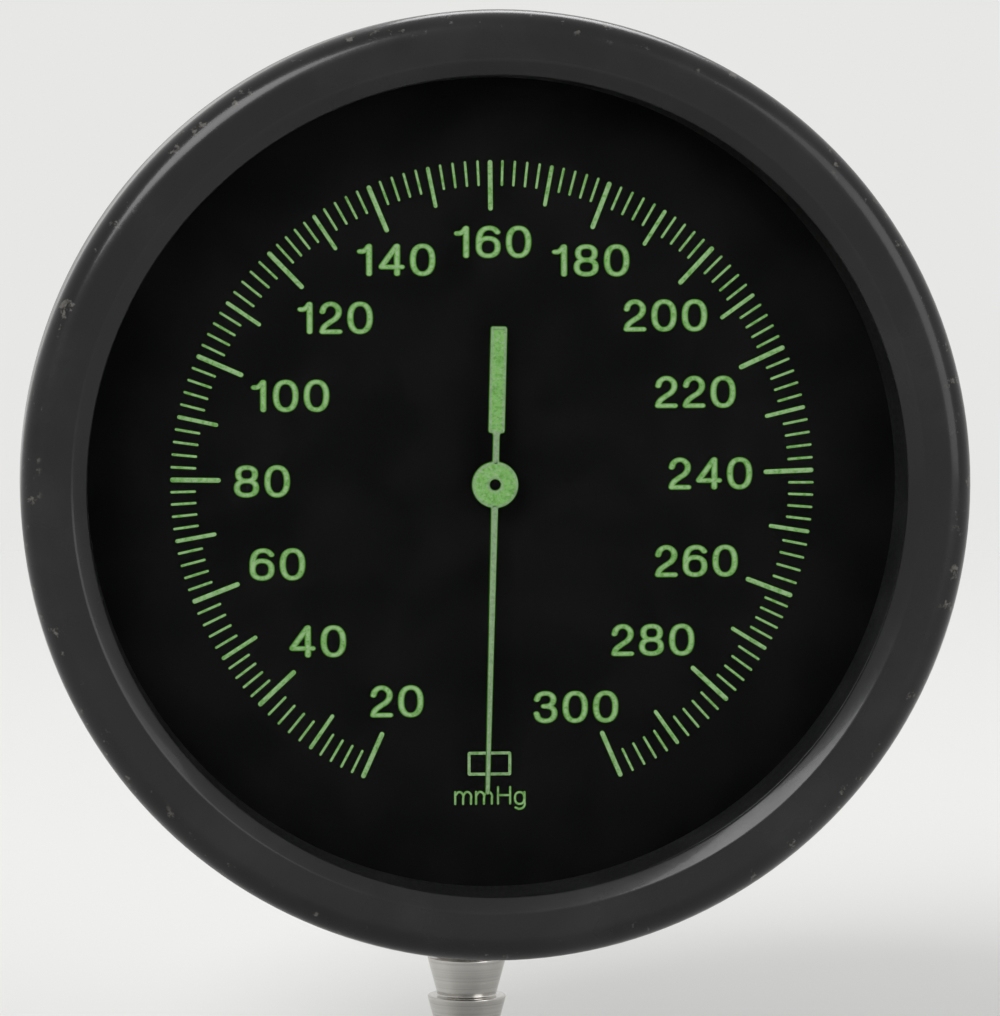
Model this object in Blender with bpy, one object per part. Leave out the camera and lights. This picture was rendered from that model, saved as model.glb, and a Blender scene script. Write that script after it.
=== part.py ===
"""Aneroid gauge of a sphygmomanometer, upright on its cuff hook, with the dial facing -Y.

Every size is in metres and every angle in radians. The gauge is drawn as it would lie on a
bench: dial up, +Z out of the dial, +Y towards the top reading, and height zero at the outer
face of the case back. The empty gauge_frame then stands it upright, and puts the place where
the cuff hook bears at the world's origin. At rest the pointer shows zero.
"""

import math

import bmesh
import bpy
from mathutils import Matrix, Vector

# Gaps between neighbouring pieces, and the overrun of every cutter
SEAT_GAP = 0.00010
RUNNING_GAP = 0.00005
OVERRUN = 0.0004
WELD = 0.000001

# Sides of a full turn
RING_SIDES = 64
ROUND_SIDES = 24
SMALL_SIDES = 12
CORNER_STEPS = 4
SHARP_ANGLE = math.radians(30)
FULL_TURN = 2 * math.pi
UPRIGHT = math.radians(90)

# Scale on the dial, in millimetres of mercury
TOP_READING = 160
FIRST_READING = 20
LAST_READING = 300
MINOR_STEP = 2
MIDDLE_STEP = 10
MAJOR_STEP = 20
ANGLE_PER_READING = math.radians(1.1162)
SCALE_RADIUS = 0.01880
MAJOR_MARK = (0.00286, 0.00033)
MIDDLE_MARK = (0.00245, 0.00025)
MINOR_MARK = (0.00152, 0.00017)
MARK_RISE = 0.00012
ZERO_BOX_RADIUS = 0.01630
ZERO_BOX_WIDTH = 0.00250
ZERO_BOX_HEIGHT = 0.00128
ZERO_BOX_LINE = 0.00016

# Case: a narrow body behind a wider head that carries dial, crystal and bezel
BODY_WALL = 0.0014
BACK_WALL = 0.0012
BACK_CORNER = 0.0026
HEAD_STEP = 0.0012
HEAD_WALL = 0.0016
HEAD_LEDGE = 0.0010
HEAD_FLARE = 0.0014
BOSS_RADIUS = 0.0038
BOSS_RISE = 0.0014

# Air inlet block on the case back
BLOCK_WIDTH = 0.0130
BLOCK_BELOW = 0.0090
BLOCK_ABOVE = 0.0050
BLOCK_HEIGHT = 0.0056
AIR_BORE_RADIUS = 0.0011

# Hose barb, its nut and its washer
BARB_SPIGOT_RADIUS = 0.0024
BARB_BORE_RADIUS = 0.0011
BARB_INNER_END = 0.0039
BARB_NECK_RADIUS = 0.0019
BARB_NECK_LENGTH = 0.0010
BARB_CREST_RADIUS = 0.00245
BARB_ROOT_RADIUS = 0.00180
BARB_TIP_RADIUS = 0.00165
BARB_PITCH = 0.0024
BARB_COUNT = 3
NUT_ACROSS_FLATS = 0.0070
NUT_HEIGHT = 0.0024
WASHER_RADIUS = 0.0036
WASHER_HEIGHT = 0.0005

# Cuff hook and its two countersunk screws
HOOK_THICKNESS = 0.0010
HOOK_WIDTH = 0.0160
HOOK_SLOT = 0.0048
HOOK_BELOW = 0.0100
HOOK_ABOVE = 0.0120
HOOK_CORNER = 0.0040
HOOK_SCREW_X = 0.0044
HOOK_SCREW_Y = 0.0020
HOOK_ACCESS_RADIUS = 0.0021
SUNK_HEAD_RADIUS = 0.0016
SUNK_HEAD_DEPTH = 0.0007
SUNK_SHANK_RADIUS = 0.0009
SUNK_SHANK_DEPTH = 0.0034

# Pressure capsule: stud, two corrugated diaphragms and a button
STUD_RADIUS = 0.0018
STUD_DEPTH = 0.0022
STUD_COLLAR_RADIUS = 0.0024
STUD_COLLAR_HEIGHT = 0.0006
STUD_SPIGOT_RADIUS = 0.0014
STUD_SPIGOT_HEIGHT = 0.0006
CAPSULE_CLEARANCE = 0.0008
CAPSULE_SHEET = 0.00025
CAPSULE_DISH = 0.0015
CAPSULE_WAVE = 0.00030
CAPSULE_WAVES = 3
WAVE_START_SHARE = 0.15
WAVE_END_SHARE = 0.80
SKIRT_END_SHARE = 0.90
BUTTON_FLANGE_RADIUS = 0.0020
BUTTON_FLANGE_HEIGHT = 0.0003
BUTTON_PIN_RADIUS = 0.00075
BUTTON_PIN_HEIGHT = 0.0013

# Rocking shaft, which turns the capsule's lift into a sideways push on the sector's tail
ROCKER_OFFSET = 0.0035
ROCKER_RADIUS = 0.0006
ROCKER_POINT = 0.0006
ROCKER_LEFT = -0.0060
ROCKER_OVERHANG = 0.0029
ROCKER_HALF_TURN = math.radians(12.2)
FINGER_HUB_RADIUS = 0.0010
FINGER_ARM = 0.0005
FINGER_WIDTH = 0.0008
INPUT_FOOT = 0.0007
INPUT_FOOT_LENGTH = 0.0006
OUTPUT_HALF_ARM = 0.0003
OUTPUT_REACH = 0.0047
EAR_THICKNESS = 0.0014
EAR_WIDTH = 0.0040
EAR_DROP = 0.0011
PIVOT_SCREW_RADIUS = 0.0007
PIVOT_SCREW_LENGTH = 0.0022
PIVOT_CUP_DEPTH = 0.0004

# Movement plates, their posts, pillars and screws
LOWER_PLATE_CLEARANCE = 0.0010
LOWER_PLATE_THICKNESS = 0.0008
ROCKER_HEADROOM = 0.0012
UPPER_PLATE_MARGIN = 0.0036
UPPER_PLATE_INSET = 0.0029
UPPER_PLATE_THICKNESS = 0.0008
PLATE_SPACING = 0.0042
POST_INSET = 0.0029
POST_RADIUS = 0.0015
POST_ANGLES = tuple(math.radians(a) for a in (90, 210, 330))
PILLAR_INSET = 0.0022
PILLAR_RADIUS = 0.0012
PILLAR_ANGLES = tuple(math.radians(a) for a in (75, 185, 295))
PILLAR_SPIGOT_RADIUS = 0.0007
SCREW_SHANK_RADIUS = 0.0007
SCREW_SHANK_LENGTH = 0.0022
SCREW_HEAD_RADIUS = 0.0015
SCREW_HEAD_HEIGHT = 0.0007
CASE_SCREW_HEAD_RADIUS = 0.0020
CASE_SCREW_HEAD_HEIGHT = 0.0008
FINGER_SLOT_WIDTH = 0.0016
FINGER_SLOT_LENGTH = 0.0030
WINDOW_INNER = 0.0050
WINDOW_OUTER = 0.0090
WINDOW_START = math.radians(95)
WINDOW_END = math.radians(165)

# Gear train: a sector that drives the pinion on the pointer's arbor
TOOTH_MODULE = 0.00020
PINION_TEETH = 12
SECTOR_TEETH = 15
SECTOR_WHEEL_TEETH = 120
PRESSURE_ANGLE = math.radians(20)
ADDENDUM_SHARE = 0.85
DEDENDUM_SHARE = 1.15
TOOTH_PLAY = 0.00005
FLANK_STEPS = 3
SECTOR_THICKNESS = 0.0006
SECTOR_HUB_RADIUS = 0.0020
SECTOR_RIM = 0.0012
SECTOR_SPOKE = 0.0009
SECTOR_ABOVE_PLATE = 0.0031
SECTOR_AXIS_Y = 0.00437
SECTOR_ARBOR_RADIUS = 0.0006
PIVOT_RADIUS = 0.00035
PIVOT_SHOULDER = 0.0002
TAIL_ARM = 0.0030
TAIL_WIDTH = 0.0014
TAIL_PIN_RADIUS = 0.0004
TAIL_PIN_DROP = 0.0016
PINION_FACE = 0.0011
ARBOR_RADIUS = 0.00055
ARBOR_TOP_RADIUS = 0.00030
BUSH_RADIUS = 0.0014

# Hairspring around the arbor
COLLET_RADIUS = 0.0012
COLLET_HEIGHT = 0.0009
COLLET_ABOVE_PLATE = 0.0006
HAIRSPRING_TURNS = 5
HAIRSPRING_PITCH = 0.00085
HAIRSPRING_STEPS = 20
HAIRSPRING_STRIP = 0.00016
HAIRSPRING_HEIGHT = 0.0005
HAIRSPRING_START = math.radians(200)
SPRING_STUD_RADIUS = 0.0006
SPRING_STUD_RISE = 0.0004
LEAST_SPRING_GAP = 0.0004

# Dial, spacer, crystal, gasket and bezel
DIAL_ABOVE_PLATE = 0.0012
DIAL_THICKNESS = 0.0005
DIAL_CLEARANCE = 0.0003
DIAL_HOLE_RADIUS = 0.0015
SPACER_FOOT_WALL = 0.0007
SPACER_TOP_WALL = 0.0003
SPACER_HEIGHT = 0.0023
GASKET_THICKNESS = 0.0004
GASKET_INSET = 0.0004
GASKET_WIDTH = 0.0010
CRYSTAL_INSET = 0.0003
CRYSTAL_THICKNESS = 0.0016
CRYSTAL_CHAMFER = 0.0003
BEZEL_CLEARANCE = 0.0003
BEZEL_WALL = 0.0010
BEZEL_OVERLAP = 0.0022
BEZEL_LIP = 0.0008
BEZEL_SKIRT = 0.0052
BEZEL_EDGE = 0.0015
BEZEL_BEVEL = 0.0009

# Pointer, cut from one sheet, and the bush under its disc
POINTER_ABOVE_DIAL = 0.0011
POINTER_THICKNESS = 0.00025
POINTER_REACH = 0.0181
POINTER_TIP_WIDTH = 0.00030
POINTER_ROOT_WIDTH = 0.00046
POINTER_DISC_RADIUS = 0.00136
TAIL_STEM_WIDTH = 0.00043
TAIL_BAR_WIDTH = 0.00100
TAIL_BAR_INNER = 0.00300
TAIL_BAR_OUTER = 0.00922
POINTER_BUSH_RADIUS = 0.0009
POINTER_BUSH_HEIGHT = 0.0007

# Heights that follow from the sizes above, from the case back to the front
BLOCK_BASE = BACK_WALL + SEAT_GAP
BLOCK_TOP = BLOCK_BASE + BLOCK_HEIGHT
INLET_HEIGHT = BLOCK_BASE + BLOCK_HEIGHT / 2
COLLAR_BASE = BLOCK_TOP + SEAT_GAP
CAPSULE_BASE = COLLAR_BASE + STUD_COLLAR_HEIGHT + SEAT_GAP
CAPSULE_MIDDLE = CAPSULE_BASE + CAPSULE_DISH + CAPSULE_SHEET + SEAT_GAP / 2
CAPSULE_TOP = CAPSULE_MIDDLE + (CAPSULE_MIDDLE - CAPSULE_BASE)
BUTTON_BASE = CAPSULE_TOP + SEAT_GAP
BUTTON_TOP = BUTTON_BASE + BUTTON_FLANGE_HEIGHT + BUTTON_PIN_HEIGHT
ROCKER_HEIGHT = (
    BUTTON_TOP
    + RUNNING_GAP
    + (ROCKER_OFFSET + INPUT_FOOT_LENGTH / 2) * math.sin(ROCKER_HALF_TURN)
    + INPUT_FOOT * math.cos(ROCKER_HALF_TURN)
)
LOWER_PLATE_BASE = ROCKER_HEIGHT + ROCKER_HEADROOM
LOWER_PLATE_TOP = LOWER_PLATE_BASE + LOWER_PLATE_THICKNESS
UPPER_PLATE_BASE = LOWER_PLATE_TOP + PLATE_SPACING
UPPER_PLATE_TOP = UPPER_PLATE_BASE + UPPER_PLATE_THICKNESS
SECTOR_BASE = LOWER_PLATE_TOP + SECTOR_ABOVE_PLATE
PINION_BASE = SECTOR_BASE + (SECTOR_THICKNESS - PINION_FACE) / 2
COLLET_BASE = LOWER_PLATE_TOP + COLLET_ABOVE_PLATE
DIAL_BASE = UPPER_PLATE_TOP + DIAL_ABOVE_PLATE
DIAL_TOP = DIAL_BASE + DIAL_THICKNESS
LEDGE_HEIGHT = DIAL_BASE - SEAT_GAP
SPACER_BASE = DIAL_TOP + SEAT_GAP
CRYSTAL_BASE = SPACER_BASE + SPACER_HEIGHT + SEAT_GAP
CASE_RIM = CRYSTAL_BASE - GASKET_THICKNESS - 2 * SEAT_GAP
CRYSTAL_TOP = CRYSTAL_BASE + CRYSTAL_THICKNESS
BEZEL_TOP = CRYSTAL_TOP + SEAT_GAP + BEZEL_LIP
POINTER_BASE = DIAL_TOP + POINTER_ABOVE_DIAL
ARBOR_TOP = POINTER_BASE + POINTER_THICKNESS

# Radii and distances that follow
PINION_PITCH_RADIUS = TOOTH_MODULE * PINION_TEETH / 2
SECTOR_PITCH_RADIUS = TOOTH_MODULE * SECTOR_WHEEL_TEETH / 2
GEAR_RATIO = SECTOR_WHEEL_TEETH / PINION_TEETH
GEAR_DISTANCE = PINION_PITCH_RADIUS + SECTOR_PITCH_RADIUS
SECTOR_AXIS_X = math.sqrt(GEAR_DISTANCE**2 - SECTOR_AXIS_Y**2)
TAIL_X = SECTOR_AXIS_X + TAIL_ARM
ROCKER_RIGHT = TAIL_X + ROCKER_OVERHANG
UPPER_PLATE_RADIUS = GEAR_DISTANCE + UPPER_PLATE_MARGIN
PILLAR_CIRCLE = UPPER_PLATE_RADIUS - PILLAR_INSET
POST_CIRCLE = UPPER_PLATE_RADIUS + UPPER_PLATE_INSET
CAPSULE_RADIUS = POST_CIRCLE - POST_RADIUS - CAPSULE_CLEARANCE
LOWER_PLATE_RADIUS = POST_CIRCLE + POST_INSET
BODY_INNER_RADIUS = LOWER_PLATE_RADIUS + LOWER_PLATE_CLEARANCE
BODY_RADIUS = BODY_INNER_RADIUS + BODY_WALL
HEAD_RADIUS = BODY_RADIUS + HEAD_STEP
HEAD_INNER_RADIUS = HEAD_RADIUS - HEAD_WALL
DIAL_RADIUS = HEAD_INNER_RADIUS - DIAL_CLEARANCE
GASKET_OUTER_RADIUS = HEAD_RADIUS - GASKET_INSET
CRYSTAL_RADIUS = HEAD_RADIUS - CRYSTAL_INSET
BEZEL_OPENING = CRYSTAL_RADIUS - BEZEL_OVERLAP
BEZEL_INNER_RADIUS = HEAD_RADIUS + BEZEL_CLEARANCE
BEZEL_RADIUS = BEZEL_INNER_RADIUS + BEZEL_WALL
BOSS_FACE = BODY_RADIUS + BOSS_RISE
NUT_FACE = BOSS_FACE + SEAT_GAP + WASHER_HEIGHT + SEAT_GAP
BARB_FIRST_CREST = NUT_FACE + NUT_HEIGHT + BARB_NECK_LENGTH
BARB_TIP = BARB_FIRST_CREST + BARB_COUNT * BARB_PITCH
POINTER_SWEEP = LAST_READING * ANGLE_PER_READING
SECTOR_HALF_TURN = POINTER_SWEEP / GEAR_RATIO / 2
SECTOR_FACING = math.atan2(-SECTOR_AXIS_Y, -SECTOR_AXIS_X)
HOOK_BEND = HOOK_SLOT / 2
HOOK_BACK = HOOK_THICKNESS + HOOK_SLOT
SPRING_INNER_RADIUS = COLLET_RADIUS + RUNNING_GAP
SPRING_OUTER_RADIUS = SPRING_INNER_RADIUS + HAIRSPRING_TURNS * HAIRSPRING_PITCH + HAIRSPRING_STRIP
SPRING_STUD_CIRCLE = SPRING_OUTER_RADIUS + RUNNING_GAP + SPRING_STUD_RADIUS
HOOK_BEARING = Vector((0, HOOK_ABOVE + HOOK_BEND, -SEAT_GAP - HOOK_THICKNESS - HOOK_BEND))

MATERIALS = {
    # name: colour, roughness, metallic
    "black_enamel": ((0.012, 0.012, 0.013), 0.35, 0.0),
    "dial_black": ((0.006, 0.006, 0.006), 0.60, 0.0),
    "luminous_paint": ((0.215, 0.400, 0.150), 0.60, 0.0),
    "clear_crystal": ((0.900, 0.920, 0.920), 0.05, 0.0),
    "plated_metal": ((0.560, 0.560, 0.550), 0.20, 1.0),
    "steel": ((0.380, 0.380, 0.380), 0.30, 1.0),
    "brass": ((0.580, 0.390, 0.140), 0.30, 1.0),
    "bronze_sheet": ((0.510, 0.260, 0.120), 0.35, 1.0),
    "rubber": ((0.020, 0.020, 0.020), 0.80, 0.0),
    "black_plastic": ((0.010, 0.010, 0.010), 0.50, 0.0),
}


def material(name):
    """The named finish, made once."""
    found = bpy.data.materials.get(name)
    if found:
        return found
    colour, roughness, metallic = MATERIALS[name]
    made = bpy.data.materials.new(name)
    made.use_nodes = True
    shader = made.node_tree.nodes["Principled BSDF"]
    shader.inputs["Base Color"].default_value = (*colour, 1)
    shader.inputs["Roughness"].default_value = roughness
    shader.inputs["Metallic"].default_value = metallic
    return made


def piece(name, shape, finish, parent, place=(0, 0, 0), turn=(0, 0, 0), rounded=True):
    """An object of that name from a bmesh, placed under its parent."""
    mesh = bpy.data.meshes.new(name)
    shape.to_mesh(mesh)
    shape.free()
    mesh.materials.append(material(finish))
    if rounded:
        mesh.shade_smooth()
        mesh.set_sharp_from_angle(angle=SHARP_ANGLE)
    made = bpy.data.objects.new(name, mesh)
    bpy.context.scene.collection.objects.link(made)
    made.parent = parent
    made.location = place
    made.rotation_euler = turn
    return made


def joint_empty(name, parent, place=(0, 0, 0), turn=(0, 0, 0)):
    """An empty on a joint's axis, which carries what turns or slides there."""
    made = bpy.data.objects.new(name, None)
    bpy.context.scene.collection.objects.link(made)
    made.parent = parent
    made.location = place
    made.rotation_euler = turn
    return made


def combine(base, helper, operation):
    """A Boolean of base with a helper, which is then left out of the model."""
    helper.hide_render = True
    helper.display_type = "WIRE"
    modifier = base.modifiers.new(helper.name, "BOOLEAN")
    modifier.operation = operation
    modifier.object = helper


def polar(radius, angle, centre=(0, 0)):
    return (centre[0] + radius * math.cos(angle), centre[1] + radius * math.sin(angle))


def arc(centre, radius, start, end, steps):
    """Points from start to end, both included."""
    turns = [start + (end - start) * i / steps for i in range(steps + 1)]
    return [polar(radius, turn, centre) for turn in turns]


def circle(centre, radius, sides=SMALL_SIDES):
    return [polar(radius, FULL_TURN * i / sides, centre) for i in range(sides)]


def turned(profile, sides=ROUND_SIDES):
    """A closed outline of (radius, height) points, turned about Z."""
    shape = bmesh.new()
    corners = [shape.verts.new((radius, 0, height)) for radius, height in profile]
    pairs = zip(corners, corners[1:] + corners[:1])
    edges = [shape.edges.new(pair) for pair in pairs if pair[0].co.x or pair[1].co.x]
    bmesh.ops.spin(
        shape, geom=corners + edges, axis=(0, 0, 1), angle=FULL_TURN, steps=sides, use_merge=True
    )
    bmesh.ops.remove_doubles(shape, verts=shape.verts, dist=WELD)
    bmesh.ops.recalc_face_normals(shape, faces=shape.faces)
    return shape


def slab(outlines, thickness):
    """Outlines in XY, the first the outside and the rest holes, raised to a thickness."""
    shape = bmesh.new()
    edges = []
    for outline in outlines:
        corners = [shape.verts.new((x, y, 0)) for x, y in outline]
        edges += [shape.edges.new(pair) for pair in zip(corners, corners[1:] + corners[:1])]
    bmesh.ops.triangle_fill(shape, edges=edges, use_beauty=True)
    raised = bmesh.ops.extrude_face_region(shape, geom=shape.faces[:])
    lifted = [part for part in raised["geom"] if isinstance(part, bmesh.types.BMVert)]
    bmesh.ops.translate(shape, verts=lifted, vec=(0, 0, thickness))
    bmesh.ops.recalc_face_normals(shape, faces=shape.faces)
    return shape


def box(width, depth, height):
    """A box centred on the origin in X and Y, standing on height zero."""
    shape = bmesh.new()
    bmesh.ops.create_cube(shape, size=1)
    bmesh.ops.scale(shape, verts=shape.verts, vec=(width, depth, height))
    bmesh.ops.translate(shape, verts=shape.verts, vec=(0, 0, height / 2))
    return shape


def rod(radius, length, sides=SMALL_SIDES):
    return turned([(0, 0), (radius, 0), (radius, length), (0, length)], sides)


def rounded_bar(reach, half_width, hub_radius, start=0):
    """Outline of a hub at the origin with a straight arm along +X, its end rounded."""
    root = math.asin(half_width / hub_radius)
    tip = (reach - half_width, 0)
    hub = arc((0, 0), hub_radius, root, FULL_TURN - root, ROUND_SIDES // 2)
    end = arc(tip, half_width, -UPRIGHT, UPRIGHT, CORNER_STEPS)
    turned_by = complex(math.cos(start), math.sin(start))
    drawn = [complex(x, y) * turned_by for x, y in hub + end]
    return [(point.real, point.imag) for point in drawn]


def reading_angle(reading):
    """Where a reading lies on the dial, from +X, with the top reading at +Y."""
    return UPRIGHT + (TOP_READING - reading) * ANGLE_PER_READING


def case_body(frame):
    """The enamelled cup, with its ledge for the dial and its boss for the barb."""
    outer_corner = arc((BODY_RADIUS - BACK_CORNER, BACK_CORNER), BACK_CORNER, -UPRIGHT, 0, CORNER_STEPS)
    inner_radius = BACK_CORNER - BODY_WALL
    inner_corner = arc(
        (BODY_INNER_RADIUS - inner_radius, BACK_WALL + inner_radius),
        inner_radius,
        0,
        -UPRIGHT,
        CORNER_STEPS // 2,
    )
    head_base = LEDGE_HEIGHT - HEAD_LEDGE
    profile = [
        (0, 0),
        *outer_corner,
        (BODY_RADIUS, head_base - HEAD_FLARE),
        (HEAD_RADIUS, head_base),
        (HEAD_RADIUS, CASE_RIM),
        (HEAD_INNER_RADIUS, CASE_RIM),
        (HEAD_INNER_RADIUS, LEDGE_HEIGHT),
        (BODY_INNER_RADIUS, LEDGE_HEIGHT),
        *inner_corner,
        (0, BACK_WALL),
    ]
    case = piece("case_body", turned(profile, RING_SIDES), "black_enamel", frame)
    inlet = (0, 0, INLET_HEIGHT)
    facing_down = (UPRIGHT, 0, 0)
    boss_root = BODY_INNER_RADIUS + BODY_WALL / 2
    boss = piece(
        "boss_helper",
        rod(BOSS_RADIUS, BOSS_FACE - boss_root, ROUND_SIDES),
        "black_enamel",
        frame,
        (0, -boss_root, INLET_HEIGHT),
        facing_down,
    )
    combine(case, boss, "UNION")
    barb_hole = rod(BARB_SPIGOT_RADIUS + SEAT_GAP, BOSS_FACE + OVERRUN, ROUND_SIDES)
    combine(
        case, piece("barb_hole", barb_hole, "black_enamel", frame, inlet, facing_down), "DIFFERENCE"
    )
    holes = [polar(POST_CIRCLE, angle) for angle in POST_ANGLES]
    radii = [SCREW_SHANK_RADIUS + SEAT_GAP] * len(holes)
    for side in (-1, 1):
        holes.append((side * HOOK_SCREW_X, HOOK_SCREW_Y))
        radii.append(SUNK_SHANK_RADIUS + SEAT_GAP)
    for number, (place, radius) in enumerate(zip(holes, radii), 1):
        hole = piece(
            f"back_hole_{number}",
            rod(radius, BACK_WALL + 2 * OVERRUN),
            "black_enamel",
            frame,
            (*place, -OVERRUN),
        )
        combine(case, hole, "DIFFERENCE")


def inlet_block(frame):
    """The brass block that takes air from the barb to the capsule's stud."""
    middle = (BLOCK_ABOVE - BLOCK_BELOW) / 2
    block = piece(
        "inlet_block",
        box(BLOCK_WIDTH, BLOCK_ABOVE + BLOCK_BELOW, BLOCK_HEIGHT),
        "brass",
        frame,
        (0, middle, BLOCK_BASE),
    )
    spigot_seat = BARB_INNER_END - SEAT_GAP
    cutters = {
        "spigot_bore": (
            rod(BARB_SPIGOT_RADIUS + SEAT_GAP, BLOCK_BELOW - spigot_seat + OVERRUN, ROUND_SIDES),
            (0, -spigot_seat, INLET_HEIGHT),
            (UPRIGHT, 0, 0),
        ),
        "air_bore": (
            rod(AIR_BORE_RADIUS, spigot_seat + OVERRUN),
            (0, 0, INLET_HEIGHT),
            (UPRIGHT, 0, 0),
        ),
        "stud_bore": (
            rod(STUD_RADIUS + SEAT_GAP, STUD_DEPTH + SEAT_GAP + OVERRUN, ROUND_SIDES),
            (0, 0, BLOCK_TOP - STUD_DEPTH - SEAT_GAP),
            (0, 0, 0),
        ),
        "rising_bore": (
            rod(AIR_BORE_RADIUS, BLOCK_TOP - STUD_DEPTH - INLET_HEIGHT),
            (0, 0, INLET_HEIGHT),
            (0, 0, 0),
        ),
    }
    screw_seat = SUNK_SHANK_DEPTH - HOOK_THICKNESS - BACK_WALL + SEAT_GAP
    for number, side in enumerate((-1, 1), 1):
        cutters[f"screw_bore_{number}"] = (
            rod(SUNK_SHANK_RADIUS + SEAT_GAP, screw_seat + OVERRUN),
            (side * HOOK_SCREW_X, HOOK_SCREW_Y, BLOCK_BASE - OVERRUN),
            (0, 0, 0),
        )
    for name, (shape, place, turn) in cutters.items():
        combine(block, piece(name, shape, "brass", frame, place, turn), "DIFFERENCE")


def barb_profile():
    """Half outline of the hose barb: radius, and distance from the dial's axis."""
    profile = [
        (BARB_BORE_RADIUS, BARB_INNER_END),
        (BARB_SPIGOT_RADIUS, BARB_INNER_END),
        (BARB_SPIGOT_RADIUS, NUT_FACE + NUT_HEIGHT),
        (BARB_NECK_RADIUS, NUT_FACE + NUT_HEIGHT),
    ]
    for number in range(BARB_COUNT):
        crest = BARB_FIRST_CREST + number * BARB_PITCH
        last = number == BARB_COUNT - 1
        before = BARB_ROOT_RADIUS if number else BARB_NECK_RADIUS
        profile.append((before, crest))
        profile.append((BARB_CREST_RADIUS, crest))
        if last:
            profile.append((BARB_TIP_RADIUS, BARB_TIP))
    profile.append((BARB_BORE_RADIUS, BARB_TIP))
    return profile


def hose_fitting(frame):
    """Barb, jam nut and sealing washer at the bottom of the case."""
    facing_down = (UPRIGHT, 0, 0)
    axis = (0, 0, INLET_HEIGHT)
    piece("hose_barb", turned(barb_profile(), ROUND_SIDES), "plated_metal", frame, axis, facing_down)
    bore = circle((0, 0), BARB_SPIGOT_RADIUS + SEAT_GAP, ROUND_SIDES)
    hexagon = circle((0, 0), NUT_ACROSS_FLATS / 2 / math.cos(math.pi / 6), 6)
    piece(
        "barb_nut",
        slab([hexagon, bore], NUT_HEIGHT),
        "plated_metal",
        frame,
        (0, -NUT_FACE, INLET_HEIGHT),
        facing_down,
    )
    washer = slab([circle((0, 0), WASHER_RADIUS, ROUND_SIDES), bore], WASHER_HEIGHT)
    washer_place = (0, -BOSS_FACE - SEAT_GAP, INLET_HEIGHT)
    piece("barb_washer", washer, "rubber", frame, washer_place, facing_down)


def sunk_screw_profile(grow=0.0, above=0.0):
    """Half outline of a countersunk screw, head at height zero and shank below."""
    top = [(0, above), (SUNK_HEAD_RADIUS + grow, above)] if above else [(0, 0)]
    return [
        *top,
        (SUNK_HEAD_RADIUS + grow, 0),
        (SUNK_SHANK_RADIUS + grow, -SUNK_HEAD_DEPTH - grow),
        (SUNK_SHANK_RADIUS + grow, -SUNK_SHANK_DEPTH),
        (0, -SUNK_SHANK_DEPTH),
    ]


def cuff_hook(frame):
    """The spring-steel hook on the case back, and the screws that hold it."""
    low, high = -HOOK_BELOW, HOOK_ABOVE
    bend = (high, -HOOK_THICKNESS - HOOK_BEND)
    side_outline = [
        (low, 0),
        *arc(bend, HOOK_THICKNESS + HOOK_BEND, UPRIGHT, -UPRIGHT, 2 * CORNER_STEPS),
        (low, -HOOK_BACK - HOOK_THICKNESS),
        (low, -HOOK_BACK),
        *arc(bend, HOOK_BEND, -UPRIGHT, UPRIGHT, 2 * CORNER_STEPS),
        (low, -HOOK_THICKNESS),
    ]
    across = (UPRIGHT, 0, UPRIGHT)
    hook = piece(
        "cuff_hook",
        slab([side_outline], HOOK_WIDTH),
        "steel",
        frame,
        (-HOOK_WIDTH / 2, 0, -SEAT_GAP),
        across,
    )
    half = HOOK_WIDTH / 2
    top = high + 2 * HOOK_BACK
    trim_outline = [
        *arc((-half + HOOK_CORNER, low + HOOK_CORNER), HOOK_CORNER, -2 * UPRIGHT, -UPRIGHT, CORNER_STEPS),
        *arc((half - HOOK_CORNER, low + HOOK_CORNER), HOOK_CORNER, -UPRIGHT, 0, CORNER_STEPS),
        (half, top),
        (-half, top),
    ]
    depth = HOOK_BACK + HOOK_THICKNESS + 2 * OVERRUN
    trim_place = (0, 0, -SEAT_GAP + OVERRUN - depth)
    trim = piece("hook_trim", slab([trim_outline], depth), "steel", frame, trim_place)
    combine(hook, trim, "INTERSECT")
    outer_face = -SEAT_GAP - HOOK_THICKNESS
    for side, word in ((-1, "left"), (1, "right")):
        place = (side * HOOK_SCREW_X, HOOK_SCREW_Y, outer_face)
        facing_back = (2 * UPRIGHT, 0, 0)
        sink_shape = turned(sunk_screw_profile(SEAT_GAP, OVERRUN))
        sink = piece(f"sink_{word}", sink_shape, "steel", frame, place, facing_back)
        combine(hook, sink, "DIFFERENCE")
        access_place = (place[0], place[1], outer_face - HOOK_SLOT / 2)
        access = rod(HOOK_ACCESS_RADIUS, HOOK_SLOT / 2 + HOOK_THICKNESS + OVERRUN, ROUND_SIDES)
        access_hole = piece(f"access_{word}", access, "steel", frame, access_place, facing_back)
        combine(hook, access_hole, "DIFFERENCE")
        screw = turned(sunk_screw_profile(), SMALL_SIDES)
        piece(f"hook_screw_{word}", screw, "plated_metal", frame, place, facing_back)


def diaphragm_heights():
    """(radius, height above the rim) along a corrugated diaphragm, from its middle outwards."""
    folds = 2 * CAPSULE_WAVES
    span = WAVE_END_SHARE - WAVE_START_SHARE
    line = [(CAPSULE_RADIUS * WAVE_START_SHARE, CAPSULE_DISH)]
    for fold in range(1, folds + 1):
        share = WAVE_START_SHARE + span * fold / folds
        wave = -CAPSULE_WAVE if fold % 2 else CAPSULE_WAVE
        line.append((CAPSULE_RADIUS * share, CAPSULE_DISH + wave))
    line.append((CAPSULE_RADIUS * SKIRT_END_SHARE, 0))
    line.append((CAPSULE_RADIUS, 0))
    return line


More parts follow.
